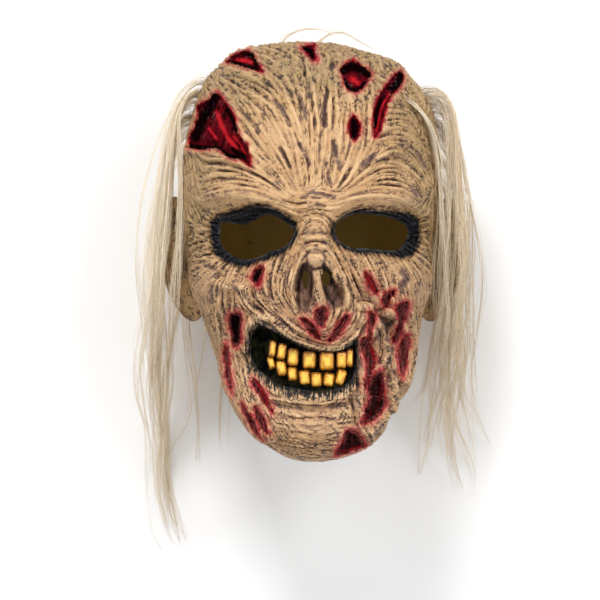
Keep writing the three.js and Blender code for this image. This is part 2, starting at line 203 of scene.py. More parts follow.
EYE_HOLES = [
    [
        (-62, 19), (-60, 20), (-55, 19.8), (-50, 18.5), (-45, 19), (-40, 21), (-35, 24), (-30, 25.5),
        (-25, 24.5), (-20, 21.5), (-15, 18), (-12.5, 15), (-12.5, 12), (-14, 9), (-18, 4), (-22, 2),
        (-28, 0.5), (-34, -2.5), (-40, -4.5), (-45, -5), (-50, -4.5), (-55, -1.5), (-59, 1.5), (-62, 6),
        (-62.5, 12),
    ],
    [
        (15.5, 15), (16, 19), (20, 22.5), (26, 25), (32, 26), (40, 25.5), (48, 24.5), (55, 22.5), (61, 20),
        (64, 17.5), (65, 15), (64.5, 10), (62, 5), (58, 1.5), (52, 1), (45, 1.5), (36, 2.5), (28, 2.5),
        (22, 5), (18, 8), (16, 12),
    ],
]
# Outlines of the dark paint round the eyes, reaching up under the brows as painted shade.
EYE_SOOT_AND_SHADE = [
    [
        (-68, 22), (-60, 25.5), (-50, 28.5), (-42, 31), (-33, 32), (-25, 29), (-18, 25), (-11, 19),
        (-10, 12), (-13, 6), (-20, -1), (-28, -3.5), (-36, -7), (-45, -9.5), (-52, -9), (-60, -5.5),
        (-65.5, -1), (-68, 7), (-69, 15),
    ],
    [
        (13, 15), (15, 20), (22, 25), (30, 28.5), (38, 29), (48, 28), (58, 27), (66, 26), (71.5, 22),
        (73, 10), (70, 0), (63, -3.5), (56, -3), (48, -1), (38, -0.8), (30, -0.5), (22, 2.5), (17, 6),
        (13.5, 11),
    ],
]
NOSTRIL_HOLES = [
    [(-6.5, -19), (-5, -13), (-2.5, -15), (-3, -24), (-5, -25)],
    [(6, -18), (8.5, -13), (11.5, -15), (12, -20), (9.5, -24)],
]
NOSTRILS = [
    [
        (-5, -6.5), (-2, -10), (0, -14), (0.8, -22), (0.3, -30), (-0.8, -38), (-4, -41.5), (-8.5, -40),
        (-11, -34), (-11, -26), (-9.5, -16), (-7.5, -9),
    ],
    [
        (6.5, -10), (10, -9.5), (13, -13), (14, -18), (19, -23), (21.5, -29), (21, -35), (16.5, -38.5),
        (11, -34), (8.5, -27), (7.5, -20), (6.6, -14),
    ],
]
MOUTH = [
    (-42, -64), (-41, -57), (-38, -52), (-34, -50), (-30, -51.5), (-20, -57), (-10, -63), (0, -67),
    (10, -68.5), (20, -67), (27, -63), (30, -60), (30.5, -68), (30, -78), (27.5, -86), (21, -91),
    (14, -93.5), (4, -94.5), (-4, -94), (-12, -92.5), (-20, -91), (-27, -87.5), (-33, -83), (-38, -78),
    (-41, -71),
]

# Torn places as seen: depth, outline and what is painted inside, as dark strokes, which are partly painted
# shadow under the torn edges, and red strokes, each stroke its half width and then its points. Without dark
# strokes, the number after the depth says how dark the middle is, painted as shade deepening inwards.
WOUNDS = [
    (2.4, 0, [
        (-66, 109.5), (-70, 105), (-73, 103), (-77, 101), (-79, 98), (-78, 93), (-80, 88), (-80.5, 84),
        (-83, 82), (-84, 77), (-85, 71), (-82, 70), (-77, 69), (-72, 69.5), (-67, 70), (-63, 69), (-60, 66),
        (-57, 64), (-53, 62.5), (-50, 63), (-46, 61), (-43, 58), (-41.5, 58), (-41.5, 62), (-42, 67),
        (-43, 72), (-46, 76), (-49, 80), (-51, 86), (-52, 93), (-55, 98), (-59, 103), (-62, 107),
    ], [
        (3.6, (-66, 106), (-69, 98), (-73, 93), (-76, 86), (-79, 78)),
        (1.8, (-83, 72), (-72, 70.5), (-64, 70.5), (-58, 66), (-50, 64)),
        (1.8, (-54, 70), (-50, 67), (-46, 65)), (1.2, (-58, 98), (-54, 90), (-51, 82)),
    ], [
        (2.4, (-65, 95), (-61.5, 86), (-57, 77), (-52, 71)), (1.6, (-70, 84), (-65, 77)),
        (1, (-53, 79), (-48, 72), (-45, 66)),
    ]),
    (2.2, 0, [
        (-60, 129), (-57, 132), (-53, 135), (-48, 137), (-45, 138), (-40, 136), (-38, 132), (-36, 128),
        (-32, 121), (-38, 123), (-45, 125), (-52, 127),
    ], [
        (2.5, (-54, 133), (-47, 136), (-40, 134), (-37, 128)),
        (1.6, (-54, 129), (-46, 126.5), (-38, 124.5)),
    ], [(2.2, (-51, 131), (-46, 130.5), (-41, 129))]),
    (1.6, 0, [
        (-9, 140), (-4, 141), (0, 142), (3, 142), (2, 138), (3, 134), (4, 130), (0, 130), (-4, 134),
        (-7, 138),
    ], [(1.8, (-5, 138.5), (-1, 137), (0.5, 133))], [(1, (1.5, 141), (1, 136), (2, 132))]),
    (2.4, 0, [
        (18, 125), (22, 128), (27, 131), (31, 130), (34, 127), (38, 125), (41, 121), (42, 120), (39, 117),
        (36, 112), (32, 109), (28, 108), (24, 110), (21, 115), (20, 120),
    ], [
        (3.2, (20, 123), (27, 126), (34, 124), (40, 120)),
        (1.2, (22, 117), (25, 111), (31, 110), (36, 115)),
    ], [(3, (27, 118), (31, 115))]),
    (2.2, 0, [
        (61, 124), (63, 119), (61.5, 114), (59, 110), (56, 107), (53, 103), (51, 97), (49, 90), (47, 83),
        (42.5, 76.5), (41, 84), (41, 92), (42.5, 100), (45, 107), (49, 113), (53, 118), (57, 122),
    ], [(2.6, (60, 121), (59, 115), (54, 111)), (1.4, (47, 104), (44, 96), (43, 86))], [
        (1.1, (53, 109), (48, 100), (45.5, 91), (43.5, 82)),
    ]),
    (2, 0.9, [
        (24, 84), (24.5, 89), (27, 93), (30, 93), (32.5, 89), (33.5, 84), (32.5, 79), (30, 75.5), (27, 76),
        (24.5, 79.5),
    ], [], []),
    (1.8, 1, [
        (-34, -9), (-32, -12), (-34, -18), (-36, -23), (-39, -22), (-42, -17.5), (-40, -13), (-37, -9.5),
    ], [], [(1, (-36, -19), (-38, -24))]),
    (2.2, 1, [
        (-57, -44), (-54, -41), (-49, -41), (-47, -45), (-48, -53), (-48, -60), (-52, -66), (-55, -62),
        (-56, -55), (-57, -50),
    ], [], []),
    (1.6, 0.35, [
        (-59, -62), (-57, -64), (-55.8, -72), (-55, -80), (-54, -90), (-54.5, -97), (-56.5, -94),
        (-58.5, -86), (-60, -76), (-60.5, -68),
    ], [], []),
    (1.8, 0.35, [
        (-41, -85), (-36, -88.5), (-31.5, -95), (-28.5, -102), (-25.5, -110.5), (-29.5, -108), (-34, -101),
        (-38, -95), (-41, -90),
    ], [], [(0.8, (-38, -88), (-34, -95), (-30, -103))]),
    (1.6, 0.35, [
        (-48.5, -101.5), (-43, -108), (-38, -116), (-35.5, -124), (-34, -128.5), (-40, -122), (-44.5, -114),
        (-47.5, -107),
    ], [], []),
    (1.6, 0.35, [
        (-38.5, -104.5), (-34, -109.5), (-31, -117), (-28.5, -124.5), (-33, -122), (-37.5, -115),
        (-39.5, -109),
    ], [], []),
    (1.8, 0.35, [
        (1, -45), (2.5, -40), (6, -36.5), (9.5, -38), (10.5, -43), (9.5, -48.5), (7, -51), (4, -50.5),
        (2, -48),
    ], [], []),
    (1.6, 0.35, [(-8.5, -45), (-5, -44.5), (0, -48), (4, -53), (6, -59.5), (1, -58), (-4, -52.5)], [], [
        (0.6, (2, -53), (5, -58)),
    ]),
    (1.6, 0.35, [
        (25, -42.5), (24, -49), (19, -56), (12, -61), (10.5, -60), (14, -54), (17, -48), (21, -44),
    ], [], []),
    (1.6, 0.35, [
        (35, -13.5), (38, -14.5), (41, -18), (44, -23), (45.5, -27.5), (42, -28.5), (39, -25.5), (36, -20),
    ], [], [(1, (37.5, -17), (42.5, -26))]),
    (1.8, 0.35, [
        (46, -33), (48, -29), (52, -26.5), (57, -25.5), (56, -29), (53, -33), (52, -38), (49, -38),
        (47, -36),
    ], [], [(0.8, (50, -37), (54, -40), (58, -47))]),
    (1.8, 0.35, [
        (56, -38), (60, -34.5), (65, -32.5), (66.5, -36), (64.5, -43), (62.5, -50), (60.5, -56),
        (57.5, -63), (54.5, -60), (57, -52), (58.5, -45),
    ], [], []),
    (2.4, 0.35, [
        (38, -41), (40, -40.5), (43.5, -43), (43, -48), (41, -54), (40, -60.5), (37, -60), (38, -52),
    ], [], [(0.6, (37, -54), (37.5, -60))]),
    (1.6, 0.35, [
        (60, -60), (65, -55.5), (67, -58), (66.5, -66), (64.5, -76), (62, -86), (59, -79), (58, -68),
    ], [], []),
    (2.4, 0.35, [
        (33, -60), (37, -57.5), (41, -64), (43.5, -72), (42, -80), (38.5, -88), (36, -95), (34.5, -90),
        (36.5, -82), (36, -74), (33, -66),
    ], [], [(0.8, (40, -65), (42.5, -74), (40, -84))]),
    (2.4, 0.6, [
        (47, -79), (49, -86), (49.5, -95), (50.5, -102), (48.5, -108), (43, -114), (38, -117),
        (33.5, -116.5), (34, -111), (37, -104), (38.5, -98), (37, -93), (40, -86), (44, -81),
    ], [], [(0.8, (46, -88), (46.5, -98), (43, -107)), (0.9, (36, -114), (41, -108))]),
    (2, 0.6, [
        (22, -121.5), (26, -120.5), (31, -122), (35, -127), (37, -131.5), (34, -133.5), (28, -135.5),
        (22, -137.5), (16, -139), (16, -135), (19.5, -130), (21, -125),
    ], [], [(0.9, (19, -135.5), (26, -134), (33, -131.5))]),
]

# Modelled folds as seen: rise, half width and points. A groove has a negative rise.
FOLDS = [
    (1.6, 2.4, [(-3, 15), (7, 15)]),
    (-1, 1.2, [(-4, 12), (8, 12)]),
    (1.4, 2.2, [(-2, 9), (6, 9)]),
    (-1.4, 1.2, [(-4, 5.5), (2, 4.5), (8, 5.5)]),
    (-1.6, 1.6, [(-4, -9), (2, -11.5), (8, -9)]),
    (3.5, 2, [(4, -13), (4.4, -24), (4.8, -38)]),
    (2, 2.4, [(-8, -8), (-12.5, -20), (-13, -33), (-8, -44)]),
    (2, 2.4, [(12, -8), (17.5, -16), (23, -26), (23, -35), (17, -41)]),
    (1.8, 4, [(-75, 36), (-60, 39), (-45, 37.5), (-27, 32), (-13, 26)]),
    (1.8, 4, [(15, 30), (30, 36), (46, 37), (62, 35), (74, 29)]),
    (2, 3, [(-60, 22.5), (-48, 22.5), (-38, 26), (-28, 28), (-19, 24.5)]),
    (-1.6, 1.4, [(-64, 25.5), (-50, 27.5), (-40, 30.5), (-29, 31.5), (-18, 27), (-11, 20)]),
    (1.2, 2.4, [(18, 22), (30, 28), (46, 27.5), (60, 24)]),
    (2, 4.5, [(-20, -28), (-28, -40), (-37, -47), (-44, -54), (-46, -66)]),
    (1.6, 2.6, [(-33, -47.5), (-20, -53.5), (-8, -60), (2, -63.5), (12, -64.5), (22, -63), (30, -57)]),
    (1.2, 3, [(-32, -91), (-16, -97), (2, -99), (18, -97), (28, -92)]),
    (-1.4, 2.6, [(-30, -103), (-10, -107), (10, -107), (26, -103)]),
    (2.2, 2.4, [(46, -60), (47.5, -70), (47, -78), (44, -83)]),
    (2, 1.8, [(32.5, -70), (34.5, -80), (33.5, -90), (32.5, -102), (33, -112)]),
    (2, 2.6, [(53, -78), (54, -92), (53, -104), (47, -115), (40, -122)]),
    (2.6, 3, [(50, -41), (55, -44), (57, -50)]),
    (-1.8, 1.4, [(60, -48), (59, -56), (54, -65), (51, -67)]),
    (1.6, 2, [(43, -44), (47, -52), (47, -60)]),
    (-1.6, 1.2, [(45.5, -46), (49, -55), (50, -66)]),
    (-1.2, 1.1, [(49, -45), (53, -53), (53, -64)]),
    (1.4, 2, [(-58, 100), (-50, 88), (-46, 78), (-40, 68)]),
    (1.8, 1.8, [(-84, 67.5), (-72, 67), (-60, 63), (-50, 60), (-43, 55.5)]),
    (1.6, 1.8, [(-58, 125.5), (-48, 122.5), (-38, 120), (-31, 118.5)]),
    (1.4, 1.6, [(21, 107), (28, 105), (35, 108), (40, 114)]),
    (1.4, 1.8, [(38, 76), (38, 90), (39, 102), (44, 112)]),
    (1.2, 2, [(49, 82), (52, 94), (56, 104), (64, 112)]),
    (1.2, 2.6, [(-66, -20), (-56, -24), (-46, -24)]),
    (-1, 1.6, [(-53, -25), (-50, -29)]),
    (-1.4, 2.2, [(62, -13), (65, -18), (62, -22)]),
    (2.3, 2.3, [(46, -33), (51, -40), (54, -48), (54.5, -58)]),
    (1.3, 1.1, [(43, -46), (47, -56), (48, -68), (46, -78)]),
    (1.2, 1.1, [(39, -50), (43, -60), (44.5, -70)]),
    (-1.4, 0.9, [(41, -48), (45, -58), (46, -70)]),
    (-1.6, 1.0, [(46, -44), (50, -54), (51, -66), (49, -78)]),
    (-2, 1.6, [(32, -58), (37, -49), (43, -43), (46, -38)]),
    (-1.6, 1.4, [(45, -42), (50, -48), (53, -56), (54, -66)]),
    (1.8, 2.4, [(30, -4), (33, -16), (39, -28), (45, -37)]),
    (-1.4, 1.3, [(27, -6), (29, -18), (33, -30), (37, -37)]),
    (1.6, 2.2, [(36, -62), (40, -54), (45, -49)]),
    (-1.5, 1.3, [(27, -64), (33, -56), (38, -50)]),
    (1.6, 2.4, [(66, -42), (68, -56), (67, -72), (63, -88)]),
    (-1.5, 1.4, [(58, -84), (60, -96), (56, -108), (49, -118)]),
    (1.4, 2, [(30, -98), (30, -108), (33, -118), (40, -125)]),
    (-1.5, 1.3, [(28, -94), (28, -106), (30, -116)]),
    (1.6, 2.6, [(-46, -24), (-44, -34), (-36, -42), (-26, -46)]),
    (-1.4, 1.3, [(-41, -28), (-39, -36), (-32, -41)]),
    (-1.3, 1.3, [(-60, -4), (-63, -16), (-69, -24)]),
    (1.3, 2.2, [(-62, -34), (-62, -50), (-60, -60)]),
    (-1.3, 1.4, [(-44, -44), (-45, -58), (-45, -72), (-42, -82)]),
    (-1.2, 1.3, [(-24, -112), (-10, -114), (4, -113), (16, -115)]),
]

# Folds with a stain along them: rise and half width of the fold, strength and half width of the
# stain, and points.
STAINED_FOLDS = [
    (-1.2, 1.4, 1, 1.8, [(9, 106), (8, 96), (9, 86)]),
    (-1, 1.2, 0.9, 1.5, [(-8, 107), (-6, 98), (-4, 90)]),
    (-1, 1.2, 0.9, 1.7, [(-26, 104), (-20, 96), (-15, 86)]),
    (-1, 1.2, 0.9, 1.6, [(-22, 71), (-18, 64), (-15, 58)]),
    (-1, 1.3, 0.9, 1.7, [(-9, 74), (-4, 66), (-2, 60)]),
    (-1, 1.2, 0.9, 1.6, [(14, 75), (17, 66), (18, 57)]),
    (-1, 1.2, 0.9, 1.4, [(10, 60), (11, 52), (13, 45)]),
    (-1, 1.4, 1, 1.5, [(-7, 37), (0, 40.5), (6, 40), (15, 37)]),
    (-0.8, 1, 0.8, 1.2, [(-2, 31), (4, 32), (9, 31)]),
    (-1.2, 1.6, 0.9, 1.6, [(-72, -9), (-66, -11.5)]),
    (-1, 1.6, 0.9, 1.6, [(-69, -26), (-68, -34)]),
]

# Tip of the nose, and places with reddened skin, as seen: x, y, half width and half height.
NOSE_TIP = (2.5, -4, 8, 8)
PINK = [(4, -50, 22, 12), (48, -50, 20, 26), (40, -85, 14, 30), (-52, -50, 9, 14), (-37, -16, 8, 9)]

# Round swellings with a clear edge, as seen: x, y, half width, half height and rise.
DOMES = [
    (2.6, -4.6, 6, 6.4, 2.6), (2.4, 3.6, 8.6, 3.6, 2.2), (2.4, 10, 9.5, 3, 1.5), (-13.5, -20, 2.6, 9, 1.6),
    (-11, -34, 2.8, 7, 1.4), (21, -20, 3, 7, 1.6), (23.5, -31, 2.8, 7, 1.8), (53, -41, 8, 4, 2.2),
    (60, -50, 3, 9, 1.6), (47, -37, 4, 3, 1.2), (36, -37, 6, 3.4, 1.6), (28, -40, 5, 7, 1.2),
    (47.5, -69, 2.6, 9, 1.8), (33.5, -84, 2, 13, 1.8), (54, -96, 3, 14, 1.6), (42, -54, 2, 9, 1.4),
]

# Deep shade at the edges of the nostrils, as seen: strength, half width and points.
NOSTRIL_SHADE = [
    (1, 2, [(-7, -9), (-9.5, -18), (-9.5, -26)]),
    (1, 1.5, [(-1, -10), (0, -18), (-0.5, -30)]),
    (1, 2.2, [(8, -10), (13, -13), (13, -21)]),
    (0.9, 1.4, [(8, -20), (9.5, -28), (14, -35)]),
    (0.8, 1.2, [(-10.5, -30), (-8.5, -38)]),
]

# Purple-brown patches as seen: strength, half width and points. The first three are painted shade: a ring
# in the crease round the tip of the nose, and two lines in the creases across its bridge.
STAINS = [
    (1, 0.8, [
        (-3.4, -2), (-3.8, -6), (-1, -10), (2.6, -11.4), (6, -10.2), (8.8, -6), (8.6, -2), (6, 1.4),
        (2.6, 2), (-1, 1.4), (-3.4, -2),
    ]),
    (0.9, 0.7, [(-6, 6), (2.5, 7.4), (10, 6)]),
    (0.9, 0.7, [(-6, 12.6), (2.5, 13.6), (10, 12.6)]),
    (1, 2.2, [(35, 60), (38, 62.5), (42, 66)]),
    (0.8, 1.4, [(44, 62), (54, 66), (64, 63)]),
    (0.8, 1.6, [(60, 74), (70, 70), (77, 58)]),
    (0.8, 1.6, [(66, 45), (72, 38)]),
    (1, 1.8, [(-53, -24), (-50, -28)]),
    (1, 3, [(62, -13), (64, -18), (62, -22)]),
    (0.9, 1.8, [(41, -44), (44, -52), (46, -60)]),
    (0.9, 1.2, [(47, -46), (51, -55), (52, -62)]),
    (1, 2.4, [(52, -66), (54, -67)]),
    (0.8, 1.6, [(31, -66), (33.5, -76), (31.5, -88)]),
    (0.7, 1.6, [(30, -96), (31, -108), (34, -118)]),
    (0.7, 1.2, [(52, -70), (56, -84), (55, -98)]),
    (0.7, 1.4, [(12, -57), (20, -52), (24, -46)]),
    (0.7, 1.4, [(12, -118), (18, -124), (17, -130)]),
    (0.7, 2, [(40, -127), (48, -118)]),
    (0.8, 3.4, [(-7, -34), (-4, -40)]),
    (0.8, 3.6, [(16, -32), (12, -37)]),
    (0.6, 1.6, [(30, -2), (34, -14), (38, -28)]),
    (0.6, 1.3, [(-43, -30), (-44, -38), (-38, -44)]),
    (0.6, 1.3, [(-30, -20), (-29, -32), (-20, -42)]),
]

# Teeth as seen: centre, width, height and turn in degrees, the upper row first.
TEETH = [
    (-26.8, -65.8, 4.9, 11, -6), (-20.6, -67.5, 6.2, 11, -8), (-13, -71.3, 7.6, 12, -3),
    (-1.9, -73.4, 9.4, 11.8, 0), (10.1, -74.1, 10.2, 12.6, 1), (20.1, -73.4, 7, 11.4, -2),
    (25.7, -72, 4.4, 12.2, 0), (-27.6, -75.3, 4.9, 8.6, 14), (-20.8, -78.9, 7.2, 10.8, 12),
    (-13.3, -82.9, 6.8, 9.6, 6), (-5, -85.5, 8.2, 10.2, 6), (3, -86.9, 7.9, 10, 0),
    (11.4, -86.9, 7.7, 9.2, -8), (19.4, -85.3, 6.9, 10.8, -16),
]
UPPER_TEETH = 7
TOOTH_RISE = 5.2
TOOTH_DEPTH = 9.0
TOOTH_STEPS = (8, 8, 6)
TOOTH_SQUARENESS = {"upper": 5.0, "lower": 3.8}
TOOTH_BEND = 0.7
TOOTH_WEAR = 0.22

# Ears: half sizes, place and turns in degrees
EAR_SIZE = (15.0, 43.0, 5.5)
EAR_PLACE = (90.0, -5.0, -9.0)
EAR_LEAN = 32.0
EAR_SPLAY = 5.0
EAR_STEPS = (18, 30, 12)
LOBE_SHIFT = 7.0
EAR_ROUGHNESS = 0.35

# Ear relief in millimetres, with its places in shares of the half sizes: rims as rise, radius and
# width, and mounds as rise, x, y, half width and half height
EAR_RIMS = [(1.9, 0.86, 0.09), (-2.2, 0.68, 0.09), (1.4, 0.5, 0.1)]
EAR_FORMS = [(-4.6, -0.22, -0.08, 0.34, 0.3), (2.2, -0.68, -0.12, 0.14, 0.14), (1.0, 0.05, -0.72, 0.3, 0.2)]
# Values painted on the ears: duller and darker, partly as painted shade under the hair, with most wrinkles
# left and fine cracks.
EAR_PAINT = {"dull_and_shade": 0.85, "calm": 0.8, "crackle": 0.6}

# Hair: for each lock, its tufts as number of strands, width, and route from the scalp to the tip.
LOCKS = {
    "hair_right_temple": [
        (60, 4, [
            (67, 99, 46), (72, 95, 52), (77, 88, 50), (82, 76, 46), (86, 55, 40), (88, 34, 34), (89, 0, 28),
            (88, -40, 8), (84, -74, -20), (82, -116, -66), (77, -157, -86),
        ]),
        (10, 1.2, [
            (69, 98, 42), (75, 92, 48), (80, 80, 46), (83, 60, 40), (86, 30, 32), (85, -20, 20),
            (82, -60, -10), (82, -77, -30), (77, -90, -44), (72, -100, -56), (64, -109, -66),
        ]),
    ],
    "hair_right_crown": [
        (60, 4, [
            (74, 107, 0), (82, 109, 4), (89, 106, 8), (94, 98, 10), (97, 86, 12), (98, 66, 14),
            (99, 30, 16), (100, -20, 8), (96, -70, -20), (91, -109, -56), (95, -143, -84), (101, -164, -88),
        ]),
        (45, 4, [
            (76, 102, -2), (83, 101, 4), (90, 93, 8), (93, 80, 12), (93, 60, 14), (93, 20, 16),
            (92, -20, 8), (92, -60, -14), (98, -102, -56), (106, -132, -82), (112, -150, -88),
            (112, -169, -88),
        ]),
    ],
    "hair_right_side": [
        (60, 4.5, [
            (80, 96, -12), (88, 96, -8), (95, 89, -4), (99, 74, 0), (102, 50, 3), (104, 10, 6),
            (103, -30, -4), (102, -60, -20), (104, -91, -46), (111, -109, -62), (120, -122, -74),
            (124, -135, -84),
        ]),
        (40, 4, [
            (82, 88, -12), (89, 84, -8), (94, 71, -2), (97, 50, 4), (99, 10, 6), (97, -40, -6),
            (90, -80, -40), (86, -115, -70), (84, -138, -86),
        ]),
    ],
    "hair_right_ear": [
        (60, 5, [
            (84, 82, -28), (91, 78, -28), (98, 62, -26), (104, 30, -22), (108, -10, -20), (108, -50, -34),
            (106, -90, -62), (110, -125, -82), (113, -160, -88),
        ]),
        (10, 1.5, [
            (84, 86, -26), (94, 85, -24), (102, 66, -22), (109, 35, -20), (112, 0, -20), (112, -40, -30),
            (113, -80, -56), (118, -120, -84),
        ]),
    ],
    "hair_right_back": [
        (45, 5, [
            (84, 70, -52), (92, 66, -54), (99, 40, -56), (103, 0, -60), (102, -50, -70), (98, -100, -84),
            (98, -140, -88), (100, -165, -89),
        ]),
        (30, 3.5, [
            (84, 60, -52), (91, 54, -54), (95, 20, -58), (95, -30, -68), (90, -80, -82), (82, -116, -88),
            (79, -150, -88),
        ]),
    ],
    "hair_right_nape": [
        (40, 4, [(66, 20, -68), (82, 8, -74), (88, -25, -80), (84, -80, -84), (74, -105, -88)]),
        (16, 2, [(67, 16, -68), (84, 4, -72), (92, -30, -78), (90, -90, -86), (86, -130, -88)]),
    ],
    "hair_left_crown": [
        (60, 4, [
            (-77, 111, 0), (-84, 111, 3), (-90, 103, 8), (-94, 88, 12), (-97, 66, 16), (-101, 20, 18),
            (-103, -30, 8), (-104, -80, -30), (-103, -130, -78), (-98, -175, -88), (-91, -200, -88),
        ]),
        (45, 4, [
            (-80, 104, 0), (-86, 102, 4), (-90, 90, 10), (-90, 70, 14), (-89, 40, 18), (-90, 0, 16),
            (-96, -50, -8), (-101, -100, -55), (-105, -136, -84), (-104, -160, -88),
        ]),
    ],
    "hair_left_side": [
        (55, 5, [
            (-80, 100, -12), (-88, 99, -8), (-94, 86, -2), (-99, 60, 2), (-105, 20, 6), (-110, -20, 4),
            (-113, -60, -14), (-114, -101, -50), (-111, -143, -84), (-108, -170, -88),
        ]),
        (45, 4, [
            (-81, 93, -16), (-89, 91, -12), (-95, 77, -8), (-97, 50, -4), (-100, 10, 0), (-106, -30, -6),
            (-110, -70, -28), (-107, -120, -70), (-104, -170, -88), (-97, -196, -88),
        ]),
        (10, 1.4, [
            (-79, 108, -8), (-88, 105, -4), (-95, 95, -2), (-105, 74, 0), (-115, 40, 0), (-118, 10, -2),
            (-118, -21, -12), (-116, -52, -30), (-115, -90, -60), (-111, -125, -82),
        ]),
    ],
    "hair_left_ear": [
        (60, 5, [
            (-82, 89, -28), (-90, 86, -26), (-96, 70, -22), (-102, 40, -18), (-108, 0, -16),
            (-110, -50, -28), (-106, -100, -60), (-101, -140, -84), (-104, -175, -88), (-94, -200, -88),
        ]),
        (8, 1.2, [
            (-84, 77, -30), (-92, 72, -28), (-96, 50, -24), (-92, 0, -20), (-88, -60, -40),
            (-84, -107, -66), (-90, -122, -76), (-98, -134, -84), (-108, -156, -87), (-114, -174, -88),
            (-112, -190, -88), (-105, -206, -88),
        ]),
    ],
    "hair_left_back": [
        (45, 5, [
            (-84, 77, -52), (-92, 72, -54), (-99, 50, -56), (-104, 10, -58), (-106, -50, -68),
            (-102, -108, -84), (-105, -150, -88), (-101, -168, -88), (-95, -190, -89),
        ]),
        (24, 3, [
            (-85, 69, -20), (-88, 58, -12), (-87, 40, -4), (-87, 5, 4), (-92, -50, -30), (-99, -112, -86),
            (-95, -138, -88), (-94, -160, -88),
        ]),
    ],
    "hair_left_nape": [
        (22, 2, [
            (-67, 20, -68), (-80, 5, -72), (-87, -20, -76), (-86, -48, -80), (-85, -71, -83),
            (-82, -95, -86), (-79, -122, -88), (-79, -144, -88),
        ]),
        (10, 1.4, [
            (-67, 24, -66), (-78, 5, -70), (-75, -30, -76), (-74, -50, -80), (-77, -75, -84),
            (-81, -94, -86), (-88, -118, -88), (-96, -130, -88),
        ]),
    ],
    "hair_left_neck": [
        (30, 1.8, [(-54, -30, -70), (-61, -50, -84), (-62, -90, -88), (-63, -137, -89)]),
        (20, 1.4, [(-54, -28, -70), (-58, -50, -84), (-58, -95, -88), (-59, -139, -89)]),
    ],
    "hair_crown_left": [
        (14, 1.6, [(-23, 142, -4), (-15, 148, 0), (-3, 151, 2), (10, 149, 6), (18, 141, 10)]),
    ],
    "hair_crown_right": [
        (16, 2, [(0, 143, -16), (9, 148, -14), (20, 149.5, -10), (32, 143, -8), (43, 137, -4)]),
    ],
}
ROUTE_PARTS = 10
ROUTE_STEP = 3.0
HAIR_RINGS = 28
STRAND_RADIUS = (0.1, 0.18)
STRANDS_A_WISP = 10

# Ends of wisps and of single strands, as mean and spread in shares of the route, and the least
WISP_END = (0.94, 0.08)
STRAND_END = (-0.02, 0.05)
LEAST_END = 0.4

# Waves of wisps and of single strands, in millimetres a radian, and strands that stand off loosely
WISP_WAVE = (13, 26)
STRAND_WAVE = (7, 14)
FULL_TURN = 6.28
LOOSE_SHARE = 0.12
LOOSE_REACH = 2.8

# How far the roots of wisps and of strands slip up or down, and the gaps to the skin and the floor
WISP_SLIP = 5.0
STRAND_SLIP = 2.5
STRAND_GAP = 0.8
FLOOR_GAP = 0.6
HAIR_SECTIONS = (-139, 141.5)

# Studio: half size of the floor and its gap under the mask in millimetres, and soft lights as name,
# place, size and power in metres and watts
FLOOR_HALF = 3000.0
FLOOR_DROP = 0.02
AMBIENT = 0.62
LIGHT_TARGET = (0, 0, 0.1)
LIGHTS = [
    ("key", (-0.4, 1.7, 1.8), 0.6, 34),
    ("fill", (1.1, 0.9, 2.0), 0.7, 12),
    ("left", (-2.0, -0.3, 1.0), 1.2, 9),
    ("right", (2.0, -0.3, 1.0), 1.2, 9),
]


def smoothstep(low, high, value):
    t = np.clip((value - low) / (high - low), 0, 1)
    return t * t * (3 - 2 * t)


def bell(value, width):
    return np.exp(-((value / width) ** 2))


def rounding(y):
    return np.sqrt(1 - (y / HALF_HEIGHT) ** 2)


# The section curves, as shares of the plain round so that crown and chin close round.
KNOTS = SECTIONS[:, 0]
SHARES = np.column_stack([
    SECTIONS[:, 1] / rounding(KNOTS),
    SECTIONS[:, 2] / rounding(KNOTS),
    SECTIONS[:, 3],
    (SECTIONS[:, 4] - SECTIONS[:, 3]) / rounding(KNOTS),
    (SECTIONS[:, 3] - SECTIONS[:, 5]) / rounding(KNOTS),
])


def section_at(y):
    """Half width left and right, middle, half depth front and back at each height."""
    after = np.clip(np.searchsorted(KNOTS, y), 1, len(KNOTS) - 1)
    before = after - 1
    last = np.where(before > 0, before - 1, after)
    later = np.where(after < len(KNOTS) - 1, after + 1, before)
    span = KNOTS[after] - KNOTS[before]
    p = np.clip((y - KNOTS[before]) / span, 0, 1)
    wp = 0.5 * span / (KNOTS[before] - KNOTS[last])
    wn = 0.5 * span / (KNOTS[later] - KNOTS[after])
    weights = [
        (last, -wp * p**3 + 2 * wp * p**2 - wp * p),
        (before, (1 + wp) * p**3 - (1.5 + 2 * wp) * p**2 + (wp - 0.5) * p + 1),
        (after, -(1 + wn) * p**3 + (1.5 + wn) * p**2 + 0.5 * p),
        (later, wn * p**3 - wn * p**2),
    ]
    return sum(SHARES[knot] * weight[:, None] for knot, weight in weights).T


def head_point(direction):
    """The plain head surface in each direction, and the way out of it."""
    x, y, z = direction.T
    height = HALF_HEIGHT * y
    left, right, middle, front, back = section_at(height)
    width = np.where(x < 0, left, right)
    depth = np.where(z < 0, back, front)
    ring = np.maximum(np.hypot(x, z), 1e-6)
    corner = (abs(x / ring) ** SQUARENESS + abs(z / ring) ** SQUARENESS) ** (-1 / SQUARENESS)
    px = width * corner * x
    pz = depth * corner * z
    out = np.stack([px / width**2, height / HALF_HEIGHT**2, pz / depth**2], 1)
    out /= np.linalg.norm(out, axis=1)[:, None]
    return np.stack([px, height, middle + pz], 1), out


def rise_at(points, inside=False):
    """How far the modelling of the face stands out of the plain head."""
    total = np.zeros(len(points))
    for x, y, wide, high, rise, turn, inner in FORMS:
        c, s = math.cos(math.radians(turn)), math.sin(math.radians(turn))
        dx, dy = points[:, 0] - x, points[:, 1] - y
        share = inner if inside else 1
        total += rise * share * bell((dx * c + dy * s) / wide, 1) * bell((dy * c - dx * s) / high, 1)
    return total * smoothstep(*FORM_FADE, points[:, 2])


def seen(points):
    """Where the camera sees each point, on the plane through the ears."""
    spread = CAMERA_HEIGHT / (CAMERA_HEIGHT - points[:, 2])
    return AIM + (points[:, :2] - AIM) * spread[:, None]


